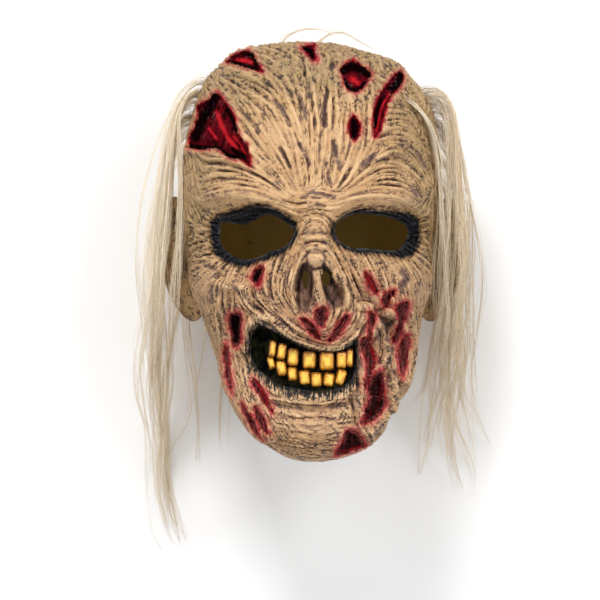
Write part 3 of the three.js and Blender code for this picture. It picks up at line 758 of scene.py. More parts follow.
def front_direction(spots):
    """The direction of the front of the head that the camera sees at each spot."""
    depth = np.full(len(spots), FACE_DEPTH)
    for _ in range(DEPTH_ROUNDS):
        x, y = (AIM + (spots - AIM) * ((CAMERA_HEIGHT - depth) / CAMERA_HEIGHT)[:, None]).T
        y = np.clip(y, -HEAD_REACH, HEAD_REACH)
        left, right = section_at(y)[:2]
        ring = rounding(y)
        across = np.clip(x / (np.where(x < 0, left, right) * ring), -0.999, 0.999)
        deep = (1 - abs(across) ** SQUARENESS) ** (1 / SQUARENESS)
        size = ring / np.hypot(across, deep)
        direction = np.stack([across * size, y / HALF_HEIGHT, deep * size], 1)
        point, out = head_point(direction)
        depth = (point + out * rise_at(point)[:, None])[:, 2]
    return direction


def front_depth(spots):
    point, out = head_point(front_direction(spots))
    return (point + out * rise_at(point)[:, None])[:, 2]


def through(spots, depth):
    """Spots as seen, brought to where they are at a depth."""
    return AIM + (np.asarray(spots, float) - AIM) * (CAMERA_HEIGHT - depth) / CAMERA_HEIGHT


# Skin map: a direction's angle from the front, laid out flat in millimetres.


def angle_from_front(direction):
    return np.arccos(np.clip(direction[:, 2], -1, 1))


def map_place(direction):
    angle = angle_from_front(direction)
    turn = np.arctan2(direction[:, 1], direction[:, 0])
    return np.stack([angle * np.cos(turn) * HALF_WIDTH, angle * np.sin(turn) * HALF_HEIGHT], 1)


def map_direction(place):
    a, b = place[:, 0] / HALF_WIDTH, place[:, 1] / HALF_HEIGHT
    angle = np.maximum(np.hypot(a, b), 1e-9)
    ahead = angle / np.tan(np.clip(angle, 1e-9, 3.1))
    return np.stack([a, b, ahead], 1) * (np.sin(angle) / angle)[:, None]


# Cells of the skin map in millimetres, and how far round from the front it reaches
MAP_STEP = 0.6
MAP_ANGLE = 2.1
MAP_HALF = (MAP_ANGLE * HALF_WIDTH, MAP_ANGLE * HALF_HEIGHT)
MAP_SHAPE = (round(2 * MAP_HALF[1] / MAP_STEP), round(2 * MAP_HALF[0] / MAP_STEP))

# Guide lines: distance within which they hold fully, power of their fading, places along them in
# millimetres, and cells of the map between which the way of the wrinkles is worked out
GUIDE_REACH = 2.0
GUIDE_FADE = 1.6
GUIDE_STEP = 3
GUIDE_CELL = 6

# Upright lines round the sides of the head: angles from the front, half height and wave
SIDE_ANGLES = (1.35, 1.6, 1.9)
SIDE_TURN = 0.9
SIDE_POINTS = 15
SIDE_WAVE = 0.25


def along(points, step):
    """Places a step apart along a line."""
    points = np.asarray(points, float)
    lengths = np.linalg.norm(np.diff(points, axis=0), axis=1)
    marks = np.concatenate([[0], np.cumsum(lengths)])
    spots = np.linspace(0, marks[-1], max(2, round(marks[-1] / step) + 1))
    return np.stack([np.interp(spots, marks, points[:, k]) for k in range(points.shape[1])], 1)


def flow_angle():
    """Doubled angle of the wrinkles over the skin map, from the guide lines."""
    places, angles = [], []
    for guide in GUIDES:
        place = map_place(front_direction(along(guide, GUIDE_STEP)))
        step = np.diff(place, axis=0)
        places.append((place[1:] + place[:-1]) / 2)
        angles.append(np.arctan2(step[:, 1], step[:, 0]))
    turn = np.linspace(-SIDE_TURN, SIDE_TURN, SIDE_POINTS)
    for side in (-1, 1):
        line = np.stack([side * np.cos(turn) * HALF_WIDTH, np.sin(turn) * HALF_HEIGHT], 1)
        for angle in SIDE_ANGLES:
            places.append(angle * line)
            angles.append(math.pi / 2 + side * SIDE_WAVE * np.sin(5 * turn + angle))
    places, angles = np.concatenate(places), np.concatenate(angles)
    rows = np.arange(0, MAP_SHAPE[0] + GUIDE_CELL, GUIDE_CELL)
    columns = np.arange(0, MAP_SHAPE[1] + GUIDE_CELL, GUIDE_CELL)
    v = rows * MAP_STEP - MAP_HALF[1]
    u = columns * MAP_STEP - MAP_HALF[0]
    field = np.zeros((len(rows), len(columns), 2))
    for place, angle in zip(places, angles):
        square = (u[None, :] - place[0]) ** 2 + (v[:, None] - place[1]) ** 2
        near = (square + GUIDE_REACH**2) ** -GUIDE_FADE
        field[..., 0] += near * math.cos(2 * angle)
        field[..., 1] += near * math.sin(2 * angle)
    field /= np.linalg.norm(field, axis=2)[..., None]
    r, c = np.indices(MAP_SHAPE).astype(float) / GUIDE_CELL
    doubled = [lookup(field[..., k], r, c) for k in range(2)]
    return np.arctan2(doubled[1], doubled[0]) / 2


def lookup(values, row, column):
    """Values between the cells of a grid."""
    row = np.clip(row, 0, values.shape[0] - 1.001)
    column = np.clip(column, 0, values.shape[1] - 1.001)
    r, c = row.astype(int), column.astype(int)
    fr, fc = row - r, column - c
    top = values[r, c] * (1 - fc) + values[r, c + 1] * fc
    low = values[r + 1, c] * (1 - fc) + values[r + 1, c + 1] * fc
    return top * (1 - fr) + low * fr


def even_noise(seed, shortest, longest):
    """Random values over the skin map, between two sizes of blob in millimetres."""
    rough = np.random.RandomState(seed).normal(size=MAP_SHAPE)
    fy = np.fft.fftfreq(MAP_SHAPE[0], MAP_STEP)[:, None]
    fx = np.fft.rfftfreq(MAP_SHAPE[1], MAP_STEP)[None, :]
    square = fx**2 + fy**2
    keep = np.exp(-square * shortest**2) - np.exp(-square * longest**2)
    smooth = np.fft.irfft2(np.fft.rfft2(rough) * keep, s=MAP_SHAPE)
    return smooth / smooth.std()


def streaks(layers, reaches, angle):
    """Smears each layer of noise along the wrinkles, as many steps each way as its reach."""
    fx, fy = np.cos(angle).astype(np.float32), np.sin(angle).astype(np.float32)
    layers = [layer.astype(np.float32) for layer in layers]
    totals = [layer.copy() for layer in layers]
    for way in (1, -1):
        row, column = np.indices(MAP_SHAPE).astype(np.float32)
        dx, dy = way * fx, way * fy
        for step in range(1, max(reaches) + 1):
            row += dy
            column += dx
            r = np.clip(np.rint(row), 0, MAP_SHAPE[0] - 1).astype(np.int32)
            c = np.clip(np.rint(column), 0, MAP_SHAPE[1] - 1).astype(np.int32)
            nx, ny = fx[r, c], fy[r, c]
            turn = np.where(nx * dx + ny * dy < 0, np.float32(-1), np.float32(1))
            dx, dy = nx * turn, ny * turn
            for total, layer, reach in zip(totals, layers, reaches):
                if step <= reach:
                    total += layer[r, c] * np.float32(0.5 + 0.5 * math.cos(math.pi * step / (reach + 1)))
    return [total / total.std() for total in totals]


def from_map(values, place):
    """Values of a skin map at places on it."""
    row = (place[:, 1] + MAP_HALF[1]) / MAP_STEP
    column = (place[:, 0] + MAP_HALF[0]) / MAP_STEP
    return lookup(values, row, column)


NOWHERE_NEAR = 1e3


def near_line(spots, line, reach):
    """Distance of each spot to a line, or a large one beyond the reach."""
    line = np.asarray(line, float)
    if len(line) == 1:
        line = np.repeat(line, 2, 0)
    far = np.full(len(spots), NOWHERE_NEAR)
    low, high = line.min(0) - reach, line.max(0) + reach
    near = np.flatnonzero(np.all((spots > low) & (spots < high), axis=1))
    if not len(near):
        return far
    best = np.full(len(near), NOWHERE_NEAR)
    for a, b in zip(line[:-1], line[1:]):
        edge = b - a
        step = spots[near] - a
        t = np.clip(step @ edge / max(edge @ edge, 1e-9), 0, 1)
        best = np.minimum(best, np.linalg.norm(step - t[:, None] * edge, axis=1))
    far[near] = best
    return far


def inside_outline(spots, outline):
    """Depth of each spot inside a rounded outline in millimetres, negative outside it."""
    outline = rounded(outline)
    loop = np.concatenate([outline, outline[:1]])
    distance = near_line(spots, loop, OUTLINE_REACH)
    near = distance < NOWHERE_NEAR
    x, y = spots[near].T
    within = np.zeros(len(x), bool)
    for (ax, ay), (bx, by) in zip(loop[:-1], loop[1:]):
        crosses = (ay > y) != (by > y)
        if by != ay:
            within ^= crosses & (x < ax + (y - ay) * (bx - ax) / (by - ay))
    distance[near] *= np.where(within, 1, -1)
    distance[~near] = -OUTLINE_REACH
    return np.maximum(distance, -OUTLINE_REACH)


def inside_any(spots, outlines):
    return np.max([inside_outline(spots, outline) for outline in outlines], axis=0)


def curve_through(before, start, end, after, parts):
    """Places on the smooth curves from each start to its end, given the places before and after."""
    found = []
    for t in np.arange(parts) / parts:
        square = 2 * before - 5 * start + 4 * end - after
        cube = 3 * start - before - 3 * end + after
        found.append((2 * start + (end - before) * t + square * t**2 + cube * t**3) / 2)
    return np.stack(found, 1).reshape(-1, start.shape[1])


def rounded(outline):
    """A closed outline with its corners rounded off."""
    points = np.asarray(outline, float)
    return curve_through(*(np.roll(points, k, 0) for k in (1, 0, -1, -2)), OUTLINE_PARTS)


def smooth_line(points, parts=6):
    """An open line with its corners rounded off."""
    points = np.asarray(points, float)
    if len(points) < 3:
        return points
    ends = np.concatenate([[2 * points[0] - points[1]], points, [2 * points[-1] - points[-2]]])
    curve = curve_through(ends[:-3], ends[1:-2], ends[2:-1], ends[3:], parts)
    return np.concatenate([curve, points[-1:]])


def oval(spots, x, y, wide, high):
    """How far each spot is from the middle of an oval, 1 at its edge."""
    return np.hypot((spots[:, 0] - x) / wide, (spots[:, 1] - y) / high)


SEED_SHIFT = (17.3, 5.1, 9.7)


def wobble(points, size, *seeds):
    """Smooth noise from about -1 to 1 at each point, with a column for each seed if there are several."""
    found = []
    for seed in seeds:
        shift = Vector([seed * part for part in SEED_SHIFT])
        found.append([noise.noise(Vector(p) / size + shift) for p in points])
    return np.array(found[0]) if len(seeds) == 1 else np.array(found).T


# Meshes


def box_grid(steps):
    """Corners of a box from -1 to 1 on each axis, divided into steps, and its faces turned out."""
    corners, faces = {}, []

    def corner(place):
        return corners.setdefault(place, len(corners))

    for axis in range(3):
        u, v = (axis + 1) % 3, (axis + 2) % 3
        for end in (0, steps[axis]):
            for i in range(steps[u]):
                for j in range(steps[v]):
                    loop = []
                    for di, dj in ((0, 0), (1, 0), (1, 1), (0, 1)):
                        place = [0, 0, 0]
                        place[axis], place[u], place[v] = end, i + di, j + dj
                        loop.append(corner(tuple(place)))
                    faces.append(loop if end else loop[::-1])
    return 2 * np.array(list(corners), float) / steps - 1, np.array(faces)


def ball_directions(corners, density=1.0):
    """Directions for the corners of a box, with its steps gathered towards the front."""
    even = np.tan(corners * math.pi / 4)
    even /= np.linalg.norm(even, axis=1)[:, None]
    below = np.maximum(1 + even[:, 2], 1e-9)
    u, v = even[:, 0] / below / density, even[:, 1] / below / density
    spread = 1 + u * u + v * v
    found = np.stack([2 * u, 2 * v, 1 - u * u - v * v], 1) / spread[:, None]
    found[even[:, 2] < -0.999999] = (0, 0, -1)
    return found


def in_metres(points):
    """Points of the shaping frame in the row's frame."""
    return (points + SHIFT) / 1000


def placed(name, data):
    thing = bpy.data.objects.new(name, data)
    bpy.context.scene.collection.objects.link(thing)
    return thing


def new_mesh(name, points, faces, material, values=None):
    """A smooth mesh object from points in the shaping frame, with its painted values."""
    mesh = bpy.data.meshes.new(name)
    loops = [[int(corner) for corner in face] for face in faces]
    mesh.from_pydata(in_metres(points).tolist(), [], loops)
    for key, value in (values or {}).items():
        write_value(mesh, key, value)
    mesh.materials.append(material)
    mesh.shade_smooth()
    return placed(name, mesh)


def write_value(mesh, key, value):
    value = np.ascontiguousarray(value, np.float32)
    if value.ndim == 1:
        mesh.attributes.new(key, "FLOAT", "POINT").data.foreach_set("value", value)
    else:
        mesh.attributes.new(key, "FLOAT_VECTOR", "POINT").data.foreach_set("vector", value.ravel())


# Shell

# How far the mouth, the nostrils and the eye rims lie in, how far the skin draws in below the chin,
# and the least wall
LIP_DEPTH = 2.4
NOSTRIL_DEPTH = 9.0
EYE_RIM_DEPTH = 1.5
CHIN_LIFT = 3.2
LEAST_WALL = 0.9

# Wrinkles: seed, smallest and largest blob, and how far each layer of noise is smeared
BROAD_STREAKS = (3, 2.5, 6.6, 30)
FINE_STREAKS = (5, 1.4, 3.5, 28)
GASH_STREAKS = (7, 1.1, 3.2, 15)

# Behind the map: angles from the front where it gives way to loose noise, and that noise's shape
MAP_FADE = (1.5, 2.05)
BACK_STRETCH = (0.5, 1.1, 0.6)


def skin_streaks():
    """The way the wrinkles run over the skin map, and the broad, fine and gash streaks on it."""
    angle = flow_angle()
    kinds = (BROAD_STREAKS, FINE_STREAKS, GASH_STREAKS)
    layers = [even_noise(*kind[:3]) for kind in kinds]
    return angle, streaks(layers, [kind[3] for kind in kinds], angle)


def across_flow(direction, angle):
    """The way across the wrinkles at each point of the skin."""
    place = map_place(direction)
    cos, sin = from_map(np.cos(2 * angle), place), from_map(np.sin(2 * angle), place)
    turn = np.arctan2(sin, cos) / 2
    step = np.stack([np.cos(turn), np.sin(turn)], 1)
    ahead, _ = head_point(map_direction(place + step))
    behind, out = head_point(map_direction(place - step))
    across = np.cross(ahead - behind, out)
    return across / np.maximum(np.linalg.norm(across, axis=1), 1e-6)[:, None]


def strokes_at(spots, strokes):
    """The strongest of some strokes at each spot."""
    found = np.zeros(len(spots))
    for strength, width, line in strokes:
        found = np.maximum(found, strength * bell(near_line(spots, along(line, 2), 3 * width), width))
    return found


def folds_at(spots):
    total = np.zeros(len(spots))
    for *place, rise in DOMES:
        share = oval(spots, *place)
        groove = 0.4 * bell(share - 1.2, 0.16)
        total += rise * (np.sqrt(np.maximum(1 - share**2, 0)) - groove)
    stained = [(rise, width, line) for rise, width, _, _, line in STAINED_FOLDS]
    for rise, width, line in FOLDS + stained:
        total += rise * bell(near_line(spots, smooth_line(line), 3 * width), width)
    return total


def stains_at(spots):
    along_folds = [(strength, width, line) for _, _, strength, width, line in STAINED_FOLDS]
    return strokes_at(spots, STAINS + along_folds)


def head_surface(steps, density, inside):
    """A grid over the head: directions, plain surface, ways out, both skins' offsets and faces."""
    corners, faces = box_grid(steps)
    direction = ball_directions(corners, density)
    plain, out = head_point(direction)
    inner = rise_at(plain, True) - WALL
    offset = inner if inside else rise_at(plain)
    return direction, plain, out, offset, inner, faces


def clamp_back(points, level):
    points[:, 2] = np.maximum(points[:, 2], level)
    return points


def skin_noise(direction, base, maps):
    """Broad, fine and gash streaks: from the skin map in front, and loose noise behind it."""
    place = map_place(direction)
    behind = smoothstep(*MAP_FADE, angle_from_front(direction))
    back = base * BACK_STRETCH
    broad, fine, gash = (from_map(layer, place) * (1 - behind) for layer in maps)
    broad += 1.6 * wobble(back, 7, 13) * behind
    fine += 3.2 * wobble(back, 3.8, 14) * behind
    return broad, fine, gash


def wrinkle_height(broad, fine, gash):
    """Rolls of skin, with a crease along the fine streaks and a deeper one along the gashes."""
    return np.clip(broad, -2, 1.4) - 0.6 * bell(fine, 0.35) + 0.3 - 1.2 * smoothstep(0.9, 1.6, gash)


def torn_places(ragged):
    """How far each spot is inside a wound, and how deep the wounds are cut."""
    wound, drop = np.full(len(ragged), -OUTLINE_REACH), np.zeros(len(ragged))
    for depth, _, outline, *_ in WOUNDS:
        inside = inside_outline(ragged, outline)
        wound = np.maximum(wound, inside)
        drop += depth * smoothstep(-0.3, 0.9, inside) - 0.9 * bell(inside + 1.2, 1.1)
    return wound, drop


def openings(spots, ragged):
    """How far each spot is inside the mouth, nostrils and eye holes, and how much eye paint, with painted
    shade under the brows, is on it.
    """
    soot_and_shade = smoothstep(-4.6, 2.6, inside_any(ragged, EYE_SOOT_AND_SHADE))
    return inside_outline(spots, MOUTH), inside_any(spots, NOSTRILS), inside_any(spots, EYE_HOLES), soot_and_shade


def calm_places(spots, mouth, soot_and_shade, hollow, front):
    """How much of the wrinkles is left at each spot, down to nothing in the mouth."""
    calm = (1 - 0.85 * soot_and_shade * front) * (1 - 0.8 * hollow) * (1 - smoothstep(-1, 1, mouth) * front)
    calm *= 1 - 0.8 * bell(oval(spots, *NOSE_TIP), 1) * front
    for x, y, wide, high, left in SMOOTH:
        calm *= 1 - (1 - left) * bell(oval(spots, x, y, wide, high), 1) * front
    return calm


def evenness(spots, base, front):
    """How much of the wrinkles' height is left on the brow, the jaw and the sides of the face."""
    brow = 1 - 0.4 * bell(spots[:, 1] - 36, 9) * front
    jaw = 1 - 0.55 * smoothstep(-70, -112, base[:, 1]) * smoothstep(88, 48, base[:, 2])
    side = 1 - 0.4 * smoothstep(20, -40, base[:, 1]) * smoothstep(60, 30, base[:, 2])
    return brow * jaw * side


def outer_skin(material):
    angle, maps = skin_streaks()
    direction, plain, out, offset, inner, faces = head_surface(OUTER_STEPS, FRONT_DENSITY, False)
    base = plain + out * offset[:, None]
    spots = seen(base)
    front = smoothstep(*FACE_FADE, base[:, 2])
    broad, fine, gash = skin_noise(direction, base, maps)
    stray = 0.7 * wobble(base, 3.2, 2, 3) + 0.5 * wobble(base, 1.7, 15, 16)
    wound, drop = torn_places(spots + stray)
    hollow = smoothstep(0, 1.5, wound) * front
    mouth, nostril, eye, soot_and_shade = openings(spots, spots + stray)
    calm = calm_places(spots, mouth, soot_and_shade, hollow, front)

    relief = (1.25 + 0.5 * smoothstep(-20, -50, spots[:, 1])) * folds_at(spots) * front
    relief += wrinkle_height(broad, fine, gash) * calm * evenness(spots, base, front)
    cut = drop + LIP_DEPTH * smoothstep(-0.3, 2, mouth) + NOSTRIL_DEPTH * smoothstep(-0.3, 2.8, nostril)
    cut += EYE_RIM_DEPTH * smoothstep(-2.2, 0.2, eye)
    height = offset + relief - cut * front + 0.45 * hollow * wobble(base * (1, 0.45, 1), 2.2, 4)
    height -= CHIN_LIFT * smoothstep(-118, -140, base[:, 1])
    height = np.maximum(height, inner + LEAST_WALL)
    points = clamp_back(plain + out * height[:, None], FLAT_BACK)

    value = painted_values(seen(points), stray, front) | dulling_shade_and_crackle(base)
    value |= {"broad": broad, "fine": fine, "gash": gash, "calm": calm}
    # How far each corner lies below its surroundings: hollows are washed brown and given painted shade,
    # ridges a painted highlight.
    value["dip"] = hollowness(relief, faces)
    value["across"] = across_flow(direction, angle)
    return new_mesh("mask_shell", points, faces, material, value)


def dulling_shade_and_crackle(base):
    """How much the paint is dulled towards the crown and darkened as painted shade on the temples, the
    sides and the back, and how finely cracked it is there.
    """
    height, depth = base[:, 1], base[:, 2]
    temple = smoothstep(-30, 15, height) * smoothstep(98, 48, depth)
    far = smoothstep(80, 132, height) + smoothstep(88, 26, depth)
    crackle = smoothstep(78, 108, height) + 0.7 * smoothstep(50, 10, depth)
    return {"dull_and_shade": np.minimum(np.maximum(far, temple), 1), "crackle": np.minimum(crackle, 1)}


def strongest(spots, strokes):
    """The strongest of some full strokes at each spot, each stroke its half width and its points."""
    return strokes_at(spots, [(1, width, line) for width, *line in strokes])


def painted_values(spots, stray, front):
    """What is painted on the skin at each spot the camera sees."""
    ragged = spots + stray
    mouth, nostril, eye, soot_and_shade = openings(spots, ragged)
    wound = np.full(len(spots), -OUTLINE_REACH)
    black_and_shadow, red = np.zeros(len(spots)), np.zeros(len(spots))
    for _, core, outline, black_and_shadow_strokes, red_strokes in WOUNDS:
        depth = inside_outline(ragged, outline)
        wound = np.maximum(wound, depth)
        within = smoothstep(-0.3, 0.8, depth)
        # Darkest marks in a wound: its strokes, partly painted shadow under the torn edges, and where it
        # has none, painted shade deepening towards the middle.
        dark = strongest(spots, black_and_shadow_strokes) if black_and_shadow_strokes else core * smoothstep(1.2, 3.2, depth)
        black_and_shadow = np.maximum(black_and_shadow, within * dark)
        red = np.maximum(red, within * strongest(spots, red_strokes))
    fringe = np.maximum(smoothstep(-84, -90, spots[:, 1]), 0.5 * smoothstep(-32, -37, spots[:, 0]))
    pink = np.max([bell(oval(spots, *place), 1) for place in PINK], axis=0)
    value = {
        "black_and_shadow": black_and_shadow,
        "red": red,
        "soot_and_shade": soot_and_shade,
        "rim": bell(eye + 0.2, 0.7),
        "cave": smoothstep(-0.3, 1.6, nostril),
        "shade": smoothstep(-0.6, 0.6, nostril) * strokes_at(spots, NOSTRIL_SHADE),
        "stain": stains_at(spots + 0.8 * stray),
        "pink": pink,
        "fringe": fringe,
    }
    value = {key: found * front for key, found in value.items()}
    value["wound"] = np.where(front > 0, wound, -OUTLINE_REACH)
    value["mouth"] = mouth * front - OUTLINE_REACH * (1 - front)
    value["lower"] = smoothstep(20, -30, spots[:, 1])
    return value


def hollowness(height, faces, rounds=14):
    """How far each corner lies below the average of the surface around it."""
    level = height.copy()
    near = np.concatenate([faces[:, [0, 1]], faces[:, [1, 2]], faces[:, [2, 3]], faces[:, [3, 0]]])
    near = np.concatenate([near, near[:, ::-1]])
    share = np.bincount(near[:, 0], minlength=len(height))
    for _ in range(rounds):
        level = np.bincount(near[:, 0], level[near[:, 1]], len(height)) / share
    return level - height


VALUE_KEYS = (
    "dip", "broad", "fine", "gash", "crackle", "across", "wound", "black_and_shadow", "red", "soot_and_shade", "rim",
    "mouth", "cave", "shade", "stain", "dull_and_shade", "lower", "pink", "calm", "fringe", "glow",
)


def lining(material):
    _, plain, out, offset, _, faces = head_surface(INNER_STEPS, INNER_DENSITY, True)
    points = clamp_back(plain + out * offset[:, None], FLAT_BACK + WALL)
    return new_mesh("lining", points, faces, material)


def hole(name, outline, material):
    """A closed block through the front of the mask, with a rounded outline as the camera sees it."""
    outline = rounded(outline)
    after = np.roll(outline, -1, 0)
    if np.sum(outline[:, 0] * after[:, 1] - outline[:, 1] * after[:, 0]) < 0:
        outline = outline[::-1]
    count = len(outline)
    ends = [np.column_stack([through(outline, depth), np.full(count, depth)]) for depth in HOLE_DEPTHS]
    faces = [(k, (k + 1) % count, count + (k + 1) % count, count + k) for k in range(count)]
    faces += [range(count)[::-1], range(count, 2 * count)]
    return new_mesh(name, np.concatenate(ends), faces, material)


def neck_block(material):
    """Everything below the neck rim."""
    (y0, z0), (y1, z1) = RIM_FRONT, RIM_NAPE
    along_rim = np.array([0, y1 - y0, z1 - z0])
    along_rim /= np.linalg.norm(along_rim)
    down = np.cross(along_rim, (1, 0, 0))
    down *= -np.sign(down[1])
    middle = np.array([0, (y0 + y1) / 2, (z0 + z1) / 2])
    corners, faces = box_grid((1, 1, 1))
    axes = np.stack([(1, 0, 0), along_rim, down])
    points = middle + BLOCK_SIZE * (corners * (1, 1, 0.5) + (0, 0, 0.5)) @ axes
    if np.linalg.det(axes) < 0:
        faces = faces[:, ::-1]
    return new_mesh("below_rim", points, faces, material)


def turned(a, b, degrees):
    """Two sets of values turned from the first axis towards the second."""
    c, s = math.cos(math.radians(degrees)), math.sin(math.radians(degrees))
    return a * c - b * s, a * s + b * c


def tooth(index, x, y, width, height, turn, material):
    corners, faces = box_grid(TOOTH_STEPS)
    upper = index < UPPER_TEETH
    power = TOOTH_SQUARENESS["upper" if upper else "lower"]
    body = corners / ((abs(corners) ** power).sum(1) ** (1 / power))[:, None]
    local = body * (width / 2, height / 2, TOOTH_DEPTH / 2)
    local[:, :2] *= 1.04 - 0.06 * np.clip(body[:, 2:], 0, 1)
    local[:, 2] -= TOOTH_BEND * body[:, 0] ** 2
    local += TOOTH_WEAR * wobble(local + 40 * index, 2.5, 5, 6, 7)
    local[:, 0], local[:, 1] = turned(local[:, 0], local[:, 1], turn)
    spot = np.array([[x, y]], float)
    depth = front_depth(spot)[0] - LIP_DEPTH + TOOTH_RISE - TOOTH_DEPTH / 2
    # How near the middle of a tooth's front each corner is, for the painted highlight on the gold.
    edge = np.maximum(abs(corners[:, 0]), abs(corners[:, 1]) * 0.95)
    value = {
        "glow": np.where(corners[:, 2] > 0, 1 - edge, -0.2),
        "mouth": np.full(len(corners), OUTLINE_REACH),
        "pink": smoothstep(0.1, 0.9, corners[:, 1]) * upper,
    }
    return new_mesh(f"tooth_{index}", local + (*through(spot, depth)[0], depth), faces, material, value)


def ear_relief(u, v):
    """How far an ear stands out of a flat oval: its rims, and its bowl, front flap and lobe."""
    radius, turn = np.hypot(u, v), np.arctan2(v, u)
    rims = sum(rise * bell(radius - place, width) for rise, place, width in EAR_RIMS)
    rims *= smoothstep(-2.6, -1.7, -abs(turn - 0.35)) * smoothstep(-0.55, -0.25, v)
    spots = np.stack([u, v], 1)
    return rims + sum(rise * bell(oval(spots, *place), 1) for rise, *place in EAR_FORMS)


def ear(side, material):
    corners, faces = box_grid(EAR_STEPS)
    ball = ball_directions(corners)
    v = ball[:, 1]
    half_width, half_height, half_depth = EAR_SIZE
    relief = ear_relief(side * ball[:, 0], v) * smoothstep(0, 0.35, ball[:, 2])
    narrow = 1 + 0.3 * bell(v + 0.75, 0.3)
    x = ball[:, 0] * half_width * narrow - side * LOBE_SHIFT * smoothstep(-0.1, -0.9, v)
    y = v * half_height
    z = ball[:, 2] * half_depth + relief
    z += EAR_ROUGHNESS * wobble(np.stack([x, y, z + 50 * side], 1), 4, 8)
    z, x = turned(z, x, side * EAR_LEAN)
    x, y = turned(x, y, -side * EAR_SPLAY)
    points = np.stack([x, y, z], 1) + np.array(EAR_PLACE) * (side, 1, 1)
    value = {key: np.full(len(points), number) for key, number in EAR_PAINT.items()}
    value |= {
        "fine": 2.6 * wobble(points * (1, 0.6, 1), 2.4, 10) + 0.3,
        "broad": 2 * wobble(points * (1, 0.5, 1), 9, 12),
        "gash": 2.4 * wobble(points * (1, 0.5, 1), 4, 11),
        # The ear's rims take the painted highlight of ridges and its bowl the painted shade of hollows.
        "dip": -0.35 * relief,
        "across": np.tile((0.5, 1.0, 0.2), (len(points), 1)),
    }
    return new_mesh(f"ear_{side}", points, faces, material, value)


def read_values(thing):
    """The places of a mesh's corners and its painted values, with nothing for the rest."""
    mesh = thing.data
    count = len(mesh.vertices)
    place = np.empty(count * 3, np.float32)
    mesh.vertices.foreach_get("co", place)
    found = {}
    for key in VALUE_KEYS:
        wide = 3 if key == "across" else 1
        value = np.zeros(count * wide, np.float32)
        if key in mesh.attributes:
            mesh.attributes[key].data.foreach_get("vector" if wide == 3 else "value", value)
        elif key in ("wound", "mouth"):
            value[:] = -OUTLINE_REACH
        found[key] = value.reshape(count, wide) if wide == 3 else value
    return place.reshape(-1, 3), found


def carve(thing, others, operation):
    """Joins the other meshes to one, or cuts them out of it, and removes them."""
    for other in others:
        step = thing.modifiers.new(other.name, "BOOLEAN")
        step.operation = operation
        step.object = other
        step.solver = "MANIFOLD"
        step.material_mode = "TRANSFER"
    graph = bpy.context.evaluated_depsgraph_get()
    made = bpy.data.meshes.new_from_object(thing.evaluated_get(graph))
    thing.modifiers.clear()
    thing.data = made
    for other in others:
        bpy.data.objects.remove(other)


def mask_shell(skin, gold, latex):
    outer = outer_skin(skin)
    ears = [ear(side, skin) for side in (-1, 1)]
    teeth = [tooth(k, *size, gold) for k, size in enumerate(TEETH)]
    inner = lining(latex)
    holes = [hole(f"hole_{k}", outline, latex) for k, outline in enumerate(EYE_HOLES + NOSTRIL_HOLES)]
    sources = [read_values(thing) for thing in [outer, inner, *ears, *teeth]]
    carve(outer, ears + teeth, "UNION")
    carve(outer, [inner, *holes, neck_block(latex)], "DIFFERENCE")
    repaint(outer, sources)
    outer.data.set_sharp_from_angle(angle=math.radians(SHARP_ANGLE))
    return outer


def repaint(thing, sources):
    """Gives every corner of a carved mesh the values of the nearest corner before carving."""
    places = np.concatenate([place for place, _ in sources])
    tree = kdtree.KDTree(len(places))
    for index, place in enumerate(places):
        tree.insert(place, index)
    tree.balance()
    nearest = np.array([tree.find(corner.co)[1] for corner in thing.data.vertices])
    for key in VALUE_KEYS:
        value = np.concatenate([values[key] for _, values in sources])[nearest]
        if key in thing.data.attributes:
            thing.data.attributes.remove(thing.data.attributes[key])
        if key == "across":
            write_corner_value(thing.data, key, value)
        else:
            write_value(thing.data, key, value)


def write_corner_value(mesh, key, value):
    """Writes a way at each corner of each face, turned to agree within the face."""
    def listed(things, key):
        found = np.empty(len(things), np.int32)
        things.foreach_get(key, found)
        return found

    way = value[listed(mesh.loops, "vertex_index")]
    start, size = listed(mesh.polygons, "loop_start"), listed(mesh.polygons, "loop_total")
    first = np.repeat(way[start], size, axis=0)
    way = way * np.where((way * first).sum(1) < 0, -1, 1)[:, None]
    found = mesh.attributes.new(key, "FLOAT_VECTOR", "CORNER")
    found.data.foreach_set("vector", np.ascontiguousarray(way, np.float32).ravel())


# Materials


def srgb(red, green, blue):
    def linear(value):
        share = value / 255
        return share / 12.92 if share <= 0.04045 else ((share + 0.055) / 1.055) ** 2.4

    return (linear(red), linear(green), linear(blue), 1)


